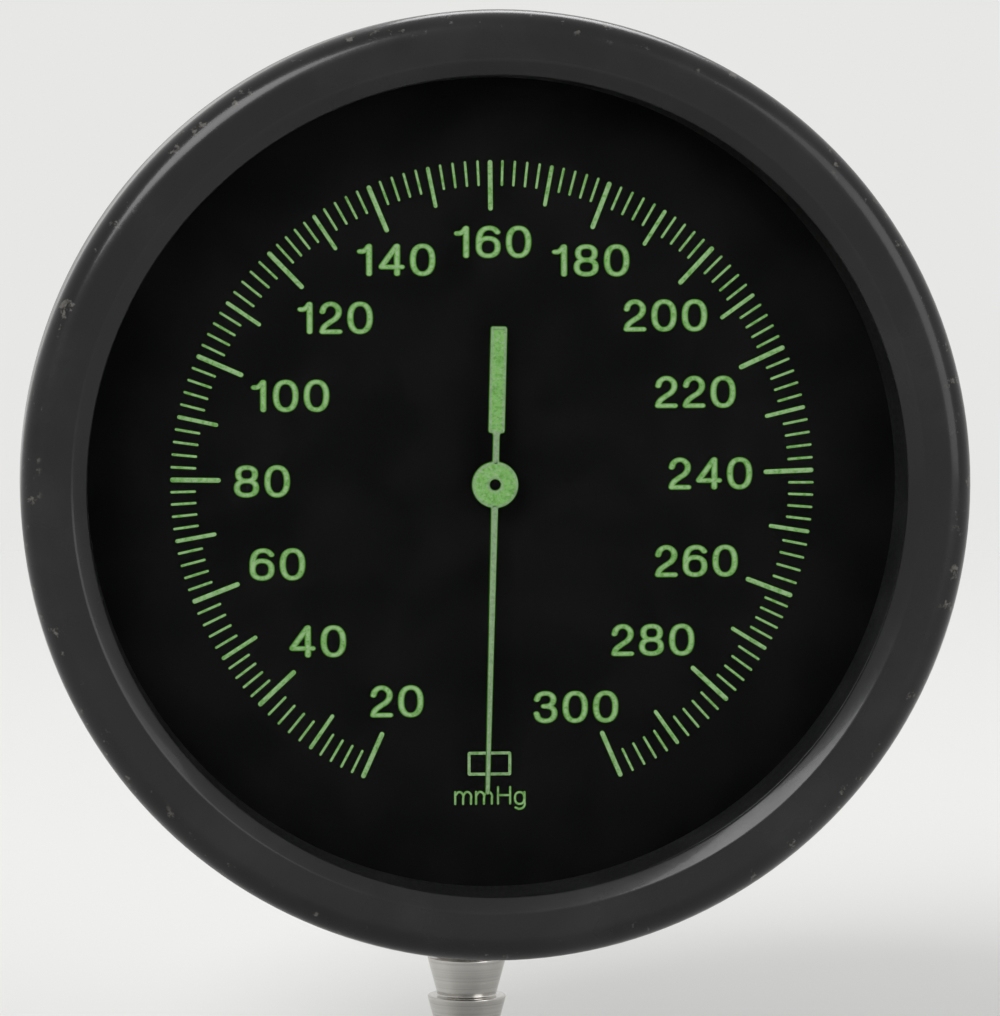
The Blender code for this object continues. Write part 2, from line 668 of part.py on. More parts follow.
def diaphragm(inner_radius, side):
    """One sheet of the capsule, on the side +1 above or -1 below its middle."""
    line = [(inner_radius, CAPSULE_DISH), *diaphragm_heights()]
    inside = [(radius, side * (SEAT_GAP / 2 + height)) for radius, height in line]
    outside = [(radius, height + side * CAPSULE_SHEET) for radius, height in reversed(inside)]
    return turned(inside + outside)


def capsule(frame, lifted):
    """Stud, lower and upper diaphragm, and the button that lifts the rocking shaft."""
    stud = [
        (BARB_BORE_RADIUS, -STUD_DEPTH),
        (STUD_RADIUS, -STUD_DEPTH),
        (STUD_RADIUS, 0),
        (STUD_COLLAR_RADIUS, 0),
        (STUD_COLLAR_RADIUS, STUD_COLLAR_HEIGHT),
        (STUD_SPIGOT_RADIUS, STUD_COLLAR_HEIGHT),
        (STUD_SPIGOT_RADIUS, STUD_COLLAR_HEIGHT + STUD_SPIGOT_HEIGHT),
        (BARB_BORE_RADIUS, STUD_COLLAR_HEIGHT + STUD_SPIGOT_HEIGHT),
    ]
    piece("capsule_stud", turned(stud), "brass", frame, (0, 0, COLLAR_BASE))
    middle = (0, 0, CAPSULE_MIDDLE)
    lower = diaphragm(STUD_SPIGOT_RADIUS + SEAT_GAP, -1)
    piece("capsule_lower_diaphragm", lower, "bronze_sheet", frame, middle)
    piece("capsule_upper_diaphragm", diaphragm(0, 1), "bronze_sheet", frame, middle)
    button = [
        (0, 0),
        (BUTTON_FLANGE_RADIUS, 0),
        (BUTTON_FLANGE_RADIUS, BUTTON_FLANGE_HEIGHT),
        (BUTTON_PIN_RADIUS, BUTTON_FLANGE_HEIGHT),
        (BUTTON_PIN_RADIUS, BUTTON_FLANGE_HEIGHT + BUTTON_PIN_HEIGHT),
        (0, BUTTON_FLANGE_HEIGHT + BUTTON_PIN_HEIGHT),
    ]
    piece("capsule_button", turned(button, SMALL_SIDES), "brass", lifted, (0, 0, BUTTON_BASE))


def screw_profile(head_radius, head_height):
    """Half outline of a cheese-head screw, shank below height zero and head above."""
    return [
        (0, -SCREW_SHANK_LENGTH),
        (SCREW_SHANK_RADIUS, -SCREW_SHANK_LENGTH),
        (SCREW_SHANK_RADIUS, 0),
        (head_radius, 0),
        (head_radius, head_height),
        (0, head_height),
    ]


def tapped_ends(radius, length, depth):
    """Half outline of a round post with a tapped hole in each end."""
    bore = SCREW_SHANK_RADIUS + SEAT_GAP
    return [
        (0, depth),
        (bore, depth),
        (bore, 0),
        (radius, 0),
        (radius, length),
        (bore, length),
        (bore, length - depth),
        (0, length - depth),
    ]


def posts_and_screws(frame):
    """Three posts from the case back to the lower plate, with a screw at each end."""
    height = LOWER_PLATE_BASE - BACK_WALL - 2 * SEAT_GAP
    post = tapped_ends(POST_RADIUS, height, SCREW_SHANK_LENGTH)
    plate_screw = screw_profile(SCREW_HEAD_RADIUS, SCREW_HEAD_HEIGHT)
    case_screw = screw_profile(CASE_SCREW_HEAD_RADIUS, CASE_SCREW_HEAD_HEIGHT)
    for number, angle in enumerate(POST_ANGLES, 1):
        x, y = polar(POST_CIRCLE, angle)
        base = (x, y, BACK_WALL + SEAT_GAP)
        piece(f"movement_post_{number}", turned(post, SMALL_SIDES), "brass", frame, base)
        top = (x, y, LOWER_PLATE_TOP + SEAT_GAP)
        piece(f"plate_screw_{number}", turned(plate_screw, SMALL_SIDES), "steel", frame, top)
        back = (x, y, -SEAT_GAP)
        facing_back = (2 * UPRIGHT, 0, 0)
        made = turned(case_screw, SMALL_SIDES)
        piece(f"case_screw_{number}", made, "plated_metal", frame, back, facing_back)


def lower_plate(frame):
    """The movement's main plate, with two ears bent down to carry the rocking shaft."""
    ear_inner = (ROCKER_LEFT - SEAT_GAP, ROCKER_RIGHT + SEAT_GAP)
    slot = [
        (TAIL_X - FINGER_SLOT_WIDTH / 2, ROCKER_OFFSET - FINGER_SLOT_LENGTH / 2),
        (TAIL_X + FINGER_SLOT_WIDTH / 2, ROCKER_OFFSET - FINGER_SLOT_LENGTH / 2),
        (TAIL_X + FINGER_SLOT_WIDTH / 2, ROCKER_OFFSET + FINGER_SLOT_LENGTH / 2),
        (TAIL_X - FINGER_SLOT_WIDTH / 2, ROCKER_OFFSET + FINGER_SLOT_LENGTH / 2),
    ]
    spring_stud = polar(SPRING_STUD_CIRCLE, HAIRSPRING_START)
    outlines = [
        circle((0, 0), LOWER_PLATE_RADIUS, RING_SIDES),
        circle((0, 0), BUSH_RADIUS + SEAT_GAP),
        circle((SECTOR_AXIS_X, SECTOR_AXIS_Y), PIVOT_RADIUS + RUNNING_GAP),
        circle(spring_stud, SPRING_STUD_RADIUS + SEAT_GAP),
        slot,
    ]
    shank_hole = SCREW_SHANK_RADIUS + SEAT_GAP
    outlines += [circle(polar(POST_CIRCLE, angle), shank_hole) for angle in POST_ANGLES]
    spigot_hole = PILLAR_SPIGOT_RADIUS + SEAT_GAP
    outlines += [circle(polar(PILLAR_CIRCLE, angle), spigot_hole) for angle in PILLAR_ANGLES]
    plate = piece(
        "lower_plate", slab(outlines, LOWER_PLATE_THICKNESS), "brass", frame, (0, 0, LOWER_PLATE_BASE)
    )
    half = EAR_WIDTH / 2
    ear_top = ROCKER_HEADROOM + LOWER_PLATE_THICKNESS / 2
    ear = [(-half, -EAR_DROP), (half, -EAR_DROP), (half, ear_top), (-half, ear_top)]
    hole = circle((0, 0), PIVOT_SCREW_RADIUS + RUNNING_GAP)
    for word, x in (("left", ear_inner[0] - EAR_THICKNESS), ("right", ear_inner[1])):
        place = (x, ROCKER_OFFSET, ROCKER_HEIGHT)
        across = (UPRIGHT, 0, UPRIGHT)
        made = piece(f"ear_{word}", slab([ear, hole], EAR_THICKNESS), "brass", frame, place, across)
        combine(plate, made, "UNION")


def upper_plate(frame):
    """The bridge over the gears, with a window above the mesh."""
    window = [
        *arc((0, 0), WINDOW_OUTER, WINDOW_START, WINDOW_END, 2 * CORNER_STEPS),
        *arc((0, 0), WINDOW_INNER, WINDOW_END, WINDOW_START, 2 * CORNER_STEPS),
    ]
    outlines = [
        circle((0, 0), UPPER_PLATE_RADIUS, RING_SIDES),
        circle((0, 0), BUSH_RADIUS + SEAT_GAP),
        circle((SECTOR_AXIS_X, SECTOR_AXIS_Y), PIVOT_RADIUS + RUNNING_GAP),
        window,
    ]
    shank_hole = SCREW_SHANK_RADIUS + SEAT_GAP
    outlines += [circle(polar(PILLAR_CIRCLE, angle), shank_hole) for angle in PILLAR_ANGLES]
    plate = slab(outlines, UPPER_PLATE_THICKNESS)
    piece("upper_plate", plate, "brass", frame, (0, 0, UPPER_PLATE_BASE))


def pillars(frame):
    """Three pillars between the plates, riveted below and screwed above."""
    height = PLATE_SPACING - 2 * SEAT_GAP
    bore = SCREW_SHANK_RADIUS + SEAT_GAP
    profile = [
        (0, -LOWER_PLATE_THICKNESS),
        (PILLAR_SPIGOT_RADIUS, -LOWER_PLATE_THICKNESS),
        (PILLAR_SPIGOT_RADIUS, 0),
        (PILLAR_RADIUS, 0),
        (PILLAR_RADIUS, height),
        (bore, height),
        (bore, height - SCREW_SHANK_LENGTH),
        (0, height - SCREW_SHANK_LENGTH),
    ]
    screw = screw_profile(SCREW_HEAD_RADIUS, SCREW_HEAD_HEIGHT)
    for number, angle in enumerate(PILLAR_ANGLES, 1):
        x, y = polar(PILLAR_CIRCLE, angle)
        base = (x, y, LOWER_PLATE_TOP + SEAT_GAP)
        piece(f"pillar_{number}", turned(profile, SMALL_SIDES), "brass", frame, base)
        top = (x, y, UPPER_PLATE_TOP + SEAT_GAP)
        piece(f"bridge_screw_{number}", turned(screw, SMALL_SIDES), "steel", frame, top)


def bushes(frame):
    """The two bushes in which the pointer's arbor runs."""
    bore = PIVOT_RADIUS + RUNNING_GAP
    lower = [(bore, 0), (BUSH_RADIUS, 0), (BUSH_RADIUS, LOWER_PLATE_THICKNESS), (bore, LOWER_PLATE_THICKNESS)]
    piece("pinion_lower_bush", turned(lower, SMALL_SIDES), "brass", frame, (0, 0, LOWER_PLATE_BASE))
    bore = ARBOR_TOP_RADIUS + RUNNING_GAP
    upper = [(bore, 0), (BUSH_RADIUS, 0), (BUSH_RADIUS, UPPER_PLATE_THICKNESS), (bore, UPPER_PLATE_THICKNESS)]
    piece("pinion_upper_bush", turned(upper, SMALL_SIDES), "brass", frame, (0, 0, UPPER_PLATE_BASE))


def involute(angle):
    return math.tan(angle) - angle


def tooth(teeth, centre_angle, outward):
    """Points over one involute tooth, from its root on one side to its root on the other."""
    pitch_radius = TOOTH_MODULE * teeth / 2
    base_radius = pitch_radius * math.cos(PRESSURE_ANGLE)
    tip_radius = pitch_radius + outward * TOOTH_MODULE
    root_radius = pitch_radius - DEDENDUM_SHARE * TOOTH_MODULE
    half_at_pitch = math.pi / 2 / teeth - TOOTH_PLAY / 2 / pitch_radius

    def half_angle(radius):
        pressure = math.acos(min(1, base_radius / radius))
        return half_at_pitch + involute(PRESSURE_ANGLE) - involute(pressure)

    start = max(base_radius, root_radius)
    radii = [start + (tip_radius - start) * i / FLANK_STEPS for i in range(FLANK_STEPS + 1)]
    if root_radius < base_radius:
        radii.insert(0, root_radius)
    rising = [polar(radius, centre_angle - half_angle(radius)) for radius in radii]
    falling = [polar(radius, centre_angle + half_angle(radius)) for radius in reversed(radii)]
    return rising + falling


def pinion(turning):
    """The pointer's arbor with the pinion's leaves on it."""
    pitch = FULL_TURN / PINION_TEETH
    sector_side = math.atan2(SECTOR_AXIS_Y, SECTOR_AXIS_X)
    first = sector_side + pitch / 2 + GEAR_RATIO * SECTOR_HALF_TURN - reading_angle(0)
    leaves = []
    for number in range(PINION_TEETH):
        leaves += tooth(PINION_TEETH, first + number * pitch, ADDENDUM_SHARE)
    low = LOWER_PLATE_BASE + RUNNING_GAP
    shoulder = LOWER_PLATE_TOP + PIVOT_SHOULDER
    upper_shoulder = UPPER_PLATE_BASE - PIVOT_SHOULDER
    profile = [
        (0, low),
        (PIVOT_RADIUS, low),
        (PIVOT_RADIUS, shoulder),
        (ARBOR_RADIUS, shoulder),
        (ARBOR_RADIUS, upper_shoulder),
        (ARBOR_TOP_RADIUS, upper_shoulder),
        (ARBOR_TOP_RADIUS, ARBOR_TOP),
        (0, ARBOR_TOP),
    ]
    arbor = piece("pinion_arbor", turned(profile, SMALL_SIDES), "steel", turning)
    gear = piece("leaves_helper", slab([leaves], PINION_FACE), "steel", turning, (0, 0, PINION_BASE))
    combine(arbor, gear, "UNION")


def sector(turning):
    """The toothed sector, its arbor and the pin in its tail. Its own +X points at the pinion."""
    pitch = FULL_TURN / SECTOR_WHEEL_TEETH
    half = SECTOR_TEETH * pitch / 2
    teeth = []
    for number in range(SECTOR_TEETH):
        teeth += tooth(SECTOR_WHEEL_TEETH, (number - (SECTOR_TEETH - 1) / 2) * pitch, ADDENDUM_SHARE)
    root = SECTOR_PITCH_RADIUS - DEDENDUM_SHARE * TOOTH_MODULE
    rim_inner = root - SECTOR_RIM
    tail_angle = -SECTOR_FACING % FULL_TURN
    tail_root = math.asin(TAIL_WIDTH / 2 / SECTOR_HUB_RADIUS)
    side_root = half + UPRIGHT / 2
    tail_end = polar(TAIL_ARM, tail_angle)
    outline = [
        polar(root, -half),
        *teeth,
        polar(root, half),
        *arc((0, 0), SECTOR_HUB_RADIUS, side_root, tail_angle - tail_root, CORNER_STEPS),
        *arc(tail_end, TAIL_WIDTH / 2, tail_angle - UPRIGHT, tail_angle + UPRIGHT, 2 * CORNER_STEPS),
        *arc((0, 0), SECTOR_HUB_RADIUS, tail_angle + tail_root, FULL_TURN - side_root, CORNER_STEPS),
    ]
    inner = SECTOR_HUB_RADIUS + SECTOR_SPOKE
    inner_half = half - SECTOR_SPOKE / inner
    outer_half = half - SECTOR_SPOKE / rim_inner
    window = [
        *arc((0, 0), rim_inner, -outer_half, outer_half, 2 * CORNER_STEPS),
        *arc((0, 0), inner, inner_half, -inner_half, CORNER_STEPS // 2),
    ]
    arbor_hole = circle((0, 0), SECTOR_ARBOR_RADIUS + RUNNING_GAP)
    pin_hole = circle(tail_end, TAIL_PIN_RADIUS + RUNNING_GAP)
    plate = slab([outline, window, arbor_hole, pin_hole], SECTOR_THICKNESS)
    piece("sector_gear", plate, "brass", turning, (0, 0, SECTOR_BASE))
    low = LOWER_PLATE_BASE
    high = UPPER_PLATE_TOP
    arbor = [
        (0, low),
        (PIVOT_RADIUS, low),
        (PIVOT_RADIUS, LOWER_PLATE_TOP + PIVOT_SHOULDER),
        (SECTOR_ARBOR_RADIUS, LOWER_PLATE_TOP + PIVOT_SHOULDER),
        (SECTOR_ARBOR_RADIUS, UPPER_PLATE_BASE - PIVOT_SHOULDER),
        (PIVOT_RADIUS, UPPER_PLATE_BASE - PIVOT_SHOULDER),
        (PIVOT_RADIUS, high),
        (0, high),
    ]
    piece("sector_arbor", turned(arbor, SMALL_SIDES), "steel", turning)
    pin = rod(TAIL_PIN_RADIUS, TAIL_PIN_DROP + SECTOR_THICKNESS)
    piece("sector_tail_pin", pin, "steel", turning, (*tail_end, SECTOR_BASE - TAIL_PIN_DROP))


def rocking_shaft(turning):
    """Shaft and its two fingers. The empty's own X runs along the shaft, and its Y from +Y up."""
    length = ROCKER_RIGHT - ROCKER_LEFT
    profile = [
        (0, 0),
        (ROCKER_RADIUS, ROCKER_POINT),
        (ROCKER_RADIUS, length - ROCKER_POINT),
        (0, length),
    ]
    along = (0, UPRIGHT, 0)
    piece("rocking_shaft", turned(profile, SMALL_SIDES), "steel", turning, (ROCKER_LEFT, 0, 0), along)
    across = (UPRIGHT, 0, UPRIGHT)
    bore = circle((0, 0), ROCKER_RADIUS + RUNNING_GAP)
    root = math.asin(FINGER_ARM / 2 / FINGER_HUB_RADIUS)
    hub = arc((0, 0), FINGER_HUB_RADIUS, -2 * UPRIGHT + root, 2 * UPRIGHT - root, ROUND_SIDES // 2)
    foot_near = -ROCKER_OFFSET + INPUT_FOOT_LENGTH / 2
    foot_far = -ROCKER_OFFSET - INPUT_FOOT_LENGTH / 2
    input_outline = [
        *hub,
        (foot_far, FINGER_ARM / 2),
        (foot_far, -INPUT_FOOT),
        (foot_near, -INPUT_FOOT),
        (foot_near, -FINGER_ARM / 2),
    ]
    input_place = (-FINGER_WIDTH / 2, 0, 0)
    finger = slab([input_outline, bore], FINGER_WIDTH)
    piece("input_finger", finger, "steel", turning, input_place, across)
    output_outline = rounded_bar(OUTPUT_REACH, OUTPUT_HALF_ARM, FINGER_HUB_RADIUS, UPRIGHT)
    output_place = (TAIL_X - FINGER_WIDTH / 2, 0, 0)
    finger = slab([output_outline, bore], FINGER_WIDTH)
    piece("output_finger", finger, "steel", turning, output_place, across)


def pivot_screws(frame):
    """Cupped screws in the ears, between which the rocking shaft's points run."""
    cup_radius = ROCKER_RADIUS * PIVOT_CUP_DEPTH / ROCKER_POINT
    profile = [
        (0, PIVOT_CUP_DEPTH),
        (cup_radius, 0),
        (PIVOT_SCREW_RADIUS, 0),
        (PIVOT_SCREW_RADIUS, PIVOT_SCREW_LENGTH),
        (0, PIVOT_SCREW_LENGTH),
    ]
    back = PIVOT_CUP_DEPTH - RUNNING_GAP
    ends = (
        ("left", ROCKER_LEFT + back, -UPRIGHT),
        ("right", ROCKER_RIGHT - back, UPRIGHT),
    )
    for word, x, turn in ends:
        place = (x, ROCKER_OFFSET, ROCKER_HEIGHT)
        screw = turned(profile, SMALL_SIDES)
        piece(f"pivot_screw_{word}", screw, "steel", frame, place, (0, turn, 0))


def hairspring(frame, turning):
    """Flat spiral from the collet on the arbor to a stud on the lower plate."""
    bore = ARBOR_RADIUS + RUNNING_GAP
    collet = [(bore, 0), (COLLET_RADIUS, 0), (COLLET_RADIUS, COLLET_HEIGHT), (bore, COLLET_HEIGHT)]
    piece("hairspring_collet", turned(collet, SMALL_SIDES), "brass", turning, (0, 0, COLLET_BASE))
    steps = HAIRSPRING_TURNS * HAIRSPRING_STEPS
    inside, outside = [], []
    for step in range(steps + 1):
        turns = step / HAIRSPRING_STEPS
        angle = HAIRSPRING_START + FULL_TURN * turns
        radius = SPRING_INNER_RADIUS + HAIRSPRING_PITCH * turns
        inside.append(polar(radius, angle))
        outside.append(polar(radius + HAIRSPRING_STRIP, angle))
    between_turns = [
        math.dist(outside[step], inside[step + HAIRSPRING_STEPS])
        for step in range(steps + 1 - HAIRSPRING_STEPS)
    ]
    gap = min(between_turns)
    print(f"hairspring: least gap between turns {gap:.6f} m")
    assert gap > LEAST_SPRING_GAP
    strip = slab([inside + outside[::-1]], HAIRSPRING_HEIGHT)
    rise = (COLLET_HEIGHT - HAIRSPRING_HEIGHT) / 2
    piece("hairspring", strip, "bronze_sheet", frame, (0, 0, COLLET_BASE + rise))
    stud_height = COLLET_BASE + rise + HAIRSPRING_HEIGHT + SPRING_STUD_RISE - LOWER_PLATE_BASE
    stud_place = polar(SPRING_STUD_CIRCLE, HAIRSPRING_START)
    stud = rod(SPRING_STUD_RADIUS, stud_height)
    piece("hairspring_stud", stud, "brass", frame, (*stud_place, LOWER_PLATE_BASE))


def scale_marks(frame):
    """One helper mesh with a bar for every mark and a frame for the zero box."""
    marks = bmesh.new()
    sunk = DIAL_THICKNESS / 2
    for reading in range(FIRST_READING, LAST_READING + MINOR_STEP, MINOR_STEP):
        length, width = MINOR_MARK
        if reading % MIDDLE_STEP == 0:
            length, width = MIDDLE_MARK
        if reading % MAJOR_STEP == 0:
            length, width = MAJOR_MARK
        bar = box(length, width, MARK_RISE + sunk)
        bmesh.ops.translate(bar, verts=bar.verts, vec=(SCALE_RADIUS - length / 2, 0, -sunk))
        bmesh.ops.rotate(bar, verts=bar.verts, matrix=rotation(reading_angle(reading)))
        merge(marks, bar)
    half_radial, half_across = ZERO_BOX_HEIGHT / 2, ZERO_BOX_WIDTH / 2
    corners = ((-1, -1), (1, -1), (1, 1), (-1, 1))
    rings = []
    for inset in (0, ZERO_BOX_LINE):
        x, y = half_radial - inset, half_across - inset
        rings.append([(ZERO_BOX_RADIUS + a * x, b * y) for a, b in corners])
    zero_box = slab(rings, MARK_RISE + sunk)
    bmesh.ops.translate(zero_box, verts=zero_box.verts, vec=(0, 0, -sunk))
    bmesh.ops.rotate(zero_box, verts=zero_box.verts, matrix=rotation(reading_angle(0)))
    merge(marks, zero_box)
    return piece("marks_helper", marks, "luminous_paint", frame, (0, 0, DIAL_TOP), rounded=False)


def rotation(angle):
    return Matrix.Rotation(angle, 3, "Z")


def merge(whole, part):
    """Adds one bmesh to another and frees it."""
    mesh = bpy.data.meshes.new("merged")
    part.to_mesh(mesh)
    part.free()
    whole.from_mesh(mesh)
    bpy.data.meshes.remove(mesh)


def dial(frame):
    """The dial plate with its raised marks, and the spacer ring on it."""
    outlines = [
        circle((0, 0), DIAL_RADIUS, RING_SIDES),
        circle((0, 0), DIAL_HOLE_RADIUS),
    ]
    plate_shape = slab(outlines, DIAL_THICKNESS)
    plate = piece("dial_plate", plate_shape, "dial_black", frame, (0, 0, DIAL_BASE), rounded=False)
    combine(plate, scale_marks(frame), "UNION")
    spacer = [
        (DIAL_RADIUS - SPACER_FOOT_WALL, 0),
        (DIAL_RADIUS, 0),
        (DIAL_RADIUS, SPACER_HEIGHT),
        (DIAL_RADIUS - SPACER_TOP_WALL, SPACER_HEIGHT),
    ]
    piece("dial_spacer", turned(spacer, RING_SIDES), "black_plastic", frame, (0, 0, SPACER_BASE))


def crystal_and_bezel(frame):
    """Gasket, crystal and the bezel that clamps them to the case."""
    gasket = [
        (GASKET_OUTER_RADIUS - GASKET_WIDTH, 0),
        (GASKET_OUTER_RADIUS, 0),
        (GASKET_OUTER_RADIUS, GASKET_THICKNESS),
        (GASKET_OUTER_RADIUS - GASKET_WIDTH, GASKET_THICKNESS),
    ]
    gasket_place = (0, 0, CASE_RIM + SEAT_GAP)
    piece("crystal_gasket", turned(gasket, RING_SIDES), "rubber", frame, gasket_place)
    crystal = [
        (0, 0),
        (CRYSTAL_RADIUS, 0),
        (CRYSTAL_RADIUS, CRYSTAL_THICKNESS - CRYSTAL_CHAMFER),
        (CRYSTAL_RADIUS - CRYSTAL_CHAMFER, CRYSTAL_THICKNESS),
        (0, CRYSTAL_THICKNESS),
    ]
    piece("crystal", turned(crystal, RING_SIDES), "clear_crystal", frame, (0, 0, CRYSTAL_BASE))
    bottom = CRYSTAL_BASE - BEZEL_SKIRT
    lip_base = BEZEL_TOP - BEZEL_LIP
    edge = arc((BEZEL_RADIUS - BEZEL_EDGE, BEZEL_TOP - BEZEL_EDGE), BEZEL_EDGE, 0, UPRIGHT, CORNER_STEPS)
    bezel = [
        (BEZEL_INNER_RADIUS, bottom),
        (BEZEL_RADIUS, bottom),
        *edge,
        (BEZEL_OPENING + BEZEL_BEVEL, BEZEL_TOP),
        (BEZEL_OPENING, lip_base + BEZEL_LIP / 4),
        (BEZEL_OPENING, lip_base),
        (BEZEL_INNER_RADIUS, lip_base),
    ]
    piece("bezel", turned(bezel, RING_SIDES), "black_enamel", frame)


def pointer(turning):
    """The pointer and its bush, drawn along the empty's +X."""
    root_half, tip_half = POINTER_ROOT_WIDTH / 2, POINTER_TIP_WIDTH / 2
    stem_half, bar_half = TAIL_STEM_WIDTH / 2, TAIL_BAR_WIDTH / 2
    root_angle = math.asin(root_half / POINTER_DISC_RADIUS)
    stem_angle = 2 * UPRIGHT - math.asin(stem_half / POINTER_DISC_RADIUS)
    upper_side = [
        (POINTER_REACH, tip_half),
        *arc((0, 0), POINTER_DISC_RADIUS, root_angle, stem_angle, ROUND_SIDES // 2),
        (-TAIL_BAR_INNER, stem_half),
        (-TAIL_BAR_INNER, bar_half),
        (-TAIL_BAR_OUTER, bar_half),
    ]
    lower_side = [(x, -y) for x, y in reversed(upper_side)]
    hole = circle((0, 0), ARBOR_TOP_RADIUS + RUNNING_GAP)
    sheet = slab([upper_side + lower_side, hole], POINTER_THICKNESS)
    piece("pointer", sheet, "luminous_paint", turning, (0, 0, POINTER_BASE))
    bore = ARBOR_TOP_RADIUS + RUNNING_GAP
    bush = [
        (bore, 0),
        (POINTER_BUSH_RADIUS, 0),
        (POINTER_BUSH_RADIUS, POINTER_BUSH_HEIGHT),
        (bore, POINTER_BUSH_HEIGHT),
    ]
    bush_place = (0, 0, POINTER_BASE - POINTER_BUSH_HEIGHT - RUNNING_GAP)
    piece("pointer_bush", turned(bush, SMALL_SIDES), "brass", turning, bush_place)


def build():
    for old in list(bpy.data.objects):
        bpy.data.objects.remove(old)
    stand = (-HOOK_BEARING.x, HOOK_BEARING.z, -HOOK_BEARING.y)
    frame = joint_empty("gauge_frame", None, stand, (UPRIGHT, 0, 0))
    pointer_axis = joint_empty("pointer_axis", frame, turn=(0, 0, reading_angle(0)))
    sector_axis = joint_empty(
        "sector_axis",
        frame,
        (SECTOR_AXIS_X, SECTOR_AXIS_Y, 0),
        (0, 0, SECTOR_FACING - SECTOR_HALF_TURN),
    )
    rocker_axis = joint_empty(
        "rocker_axis", frame, (0, ROCKER_OFFSET, ROCKER_HEIGHT), (ROCKER_HALF_TURN, 0, 0)
    )
    lift_axis = joint_empty("capsule_axis", frame)
    case_body(frame)
    inlet_block(frame)
    hose_fitting(frame)
    cuff_hook(frame)
    capsule(frame, lift_axis)
    posts_and_screws(frame)
    lower_plate(frame)
    upper_plate(frame)
    pillars(frame)
    bushes(frame)
    pinion(pointer_axis)
    sector(sector_axis)
    rocking_shaft(rocker_axis)
    pivot_screws(frame)
    hairspring(frame, pointer_axis)
    dial(frame)
    crystal_and_bezel(frame)
    pointer(pointer_axis)


build()
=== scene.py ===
"""Looks of the aneroid gauge: its finishes, printed dial and fine surfaces, with floor, light and camera.

Lengths are in metres and angles in radians. Every piece is drawn as the gauge would lie on a bench:
dial up, +Z out of the dial, +Y towards the top reading, height zero at the outer face of the case
back. STAND then turns it upright into the CAD frame, and each object stays at the origin.
"""

import math
import random

import bmesh
import bpy
from mathutils import Matrix, Vector
from mathutils.geometry import interpolate_bezier


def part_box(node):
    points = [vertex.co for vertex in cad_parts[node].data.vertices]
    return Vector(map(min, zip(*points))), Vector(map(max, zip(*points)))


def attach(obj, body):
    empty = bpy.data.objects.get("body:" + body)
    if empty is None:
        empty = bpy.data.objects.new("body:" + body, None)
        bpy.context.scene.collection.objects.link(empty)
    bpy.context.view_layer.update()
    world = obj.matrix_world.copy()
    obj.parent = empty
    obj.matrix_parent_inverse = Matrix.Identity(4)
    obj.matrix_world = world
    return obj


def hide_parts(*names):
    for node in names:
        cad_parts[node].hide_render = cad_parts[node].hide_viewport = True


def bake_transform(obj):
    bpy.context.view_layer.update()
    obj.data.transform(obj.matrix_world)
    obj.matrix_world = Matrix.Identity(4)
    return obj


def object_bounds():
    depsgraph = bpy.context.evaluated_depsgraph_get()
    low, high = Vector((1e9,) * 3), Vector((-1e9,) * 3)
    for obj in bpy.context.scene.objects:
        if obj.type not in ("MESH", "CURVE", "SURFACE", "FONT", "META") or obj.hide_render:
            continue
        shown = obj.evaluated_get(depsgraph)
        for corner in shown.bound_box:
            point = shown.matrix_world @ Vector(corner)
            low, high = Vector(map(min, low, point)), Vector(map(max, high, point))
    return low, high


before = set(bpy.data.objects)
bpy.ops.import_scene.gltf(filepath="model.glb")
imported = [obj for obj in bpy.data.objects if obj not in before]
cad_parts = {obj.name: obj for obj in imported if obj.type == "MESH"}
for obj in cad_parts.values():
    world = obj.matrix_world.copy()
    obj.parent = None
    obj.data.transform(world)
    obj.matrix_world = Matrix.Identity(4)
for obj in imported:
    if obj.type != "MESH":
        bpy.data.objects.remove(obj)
cad_low, cad_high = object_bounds()

UPRIGHT = math.radians(90)
FULL_TURN = 2 * math.pi
SHARP_ANGLE = math.radians(32)

# How near two points are one, how far a cutter overruns, and how upright a flat front's normal is
WELD = 0.000001
OVERRUN = 0.0004
FLAT = 0.9

# Sides of a full turn, and steps of an arc
RING_SIDES = 192
ROUND_SIDES = 96
SMALL_SIDES = 48
OVAL_SIDES = 32
PIVOT_SIDES = 24
ARC_STEPS = 12

# Endings of the names of CAD nodes that come in twos and threes
HANDS = ("left", "right")
NUMBERS = (1, 2, 3)

# Where the bench stands in the CAD frame
CASE_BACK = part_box("case_body")[1].y
DIAL_AXIS = (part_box("bezel")[0].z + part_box("bezel")[1].z) / 2
STAND = Matrix(((1, 0, 0, 0), (0, 0, -1, CASE_BACK), (0, 1, 0, DIAL_AXIS), (0, 0, 0, 1)))


def heights(node):
    """Lowest and highest bench height of a CAD node."""
    low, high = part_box(node)
    return CASE_BACK - high.y, CASE_BACK - low.y


def half_width(node):
    low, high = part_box(node)
    return (high.x - low.x) / 2


def middle(node):
    """Middle of a CAD node in the bench's X and Y."""
    low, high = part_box(node)
    return (low.x + high.x) / 2, (low.z + high.z) / 2 - DIAL_AXIS


def below_axis(node):
    """How far below the dial's axis a CAD node starts and ends."""
    low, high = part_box(node)
    return DIAL_AXIS - high.z, DIAL_AXIS - low.z


# Photograph: where its dial is, and how long a pixel is there
PIXEL = 0.0585e-3
DIAL_PIXEL = (492.8, 482.7)
AXIS_PIXEL = (493.3, 483.4)
PICTURE_SIZE = (1000, 1016)

# Camera, where the photograph's was: azimuth and elevation in degrees, and distance
CAMERA_ANGLES = (-5, 4)
CAMERA_DISTANCE = 0.350
SENSOR = 36.0
SEEN_PIXEL = PIXEL * math.cos(math.radians(CAMERA_ANGLES[0]))

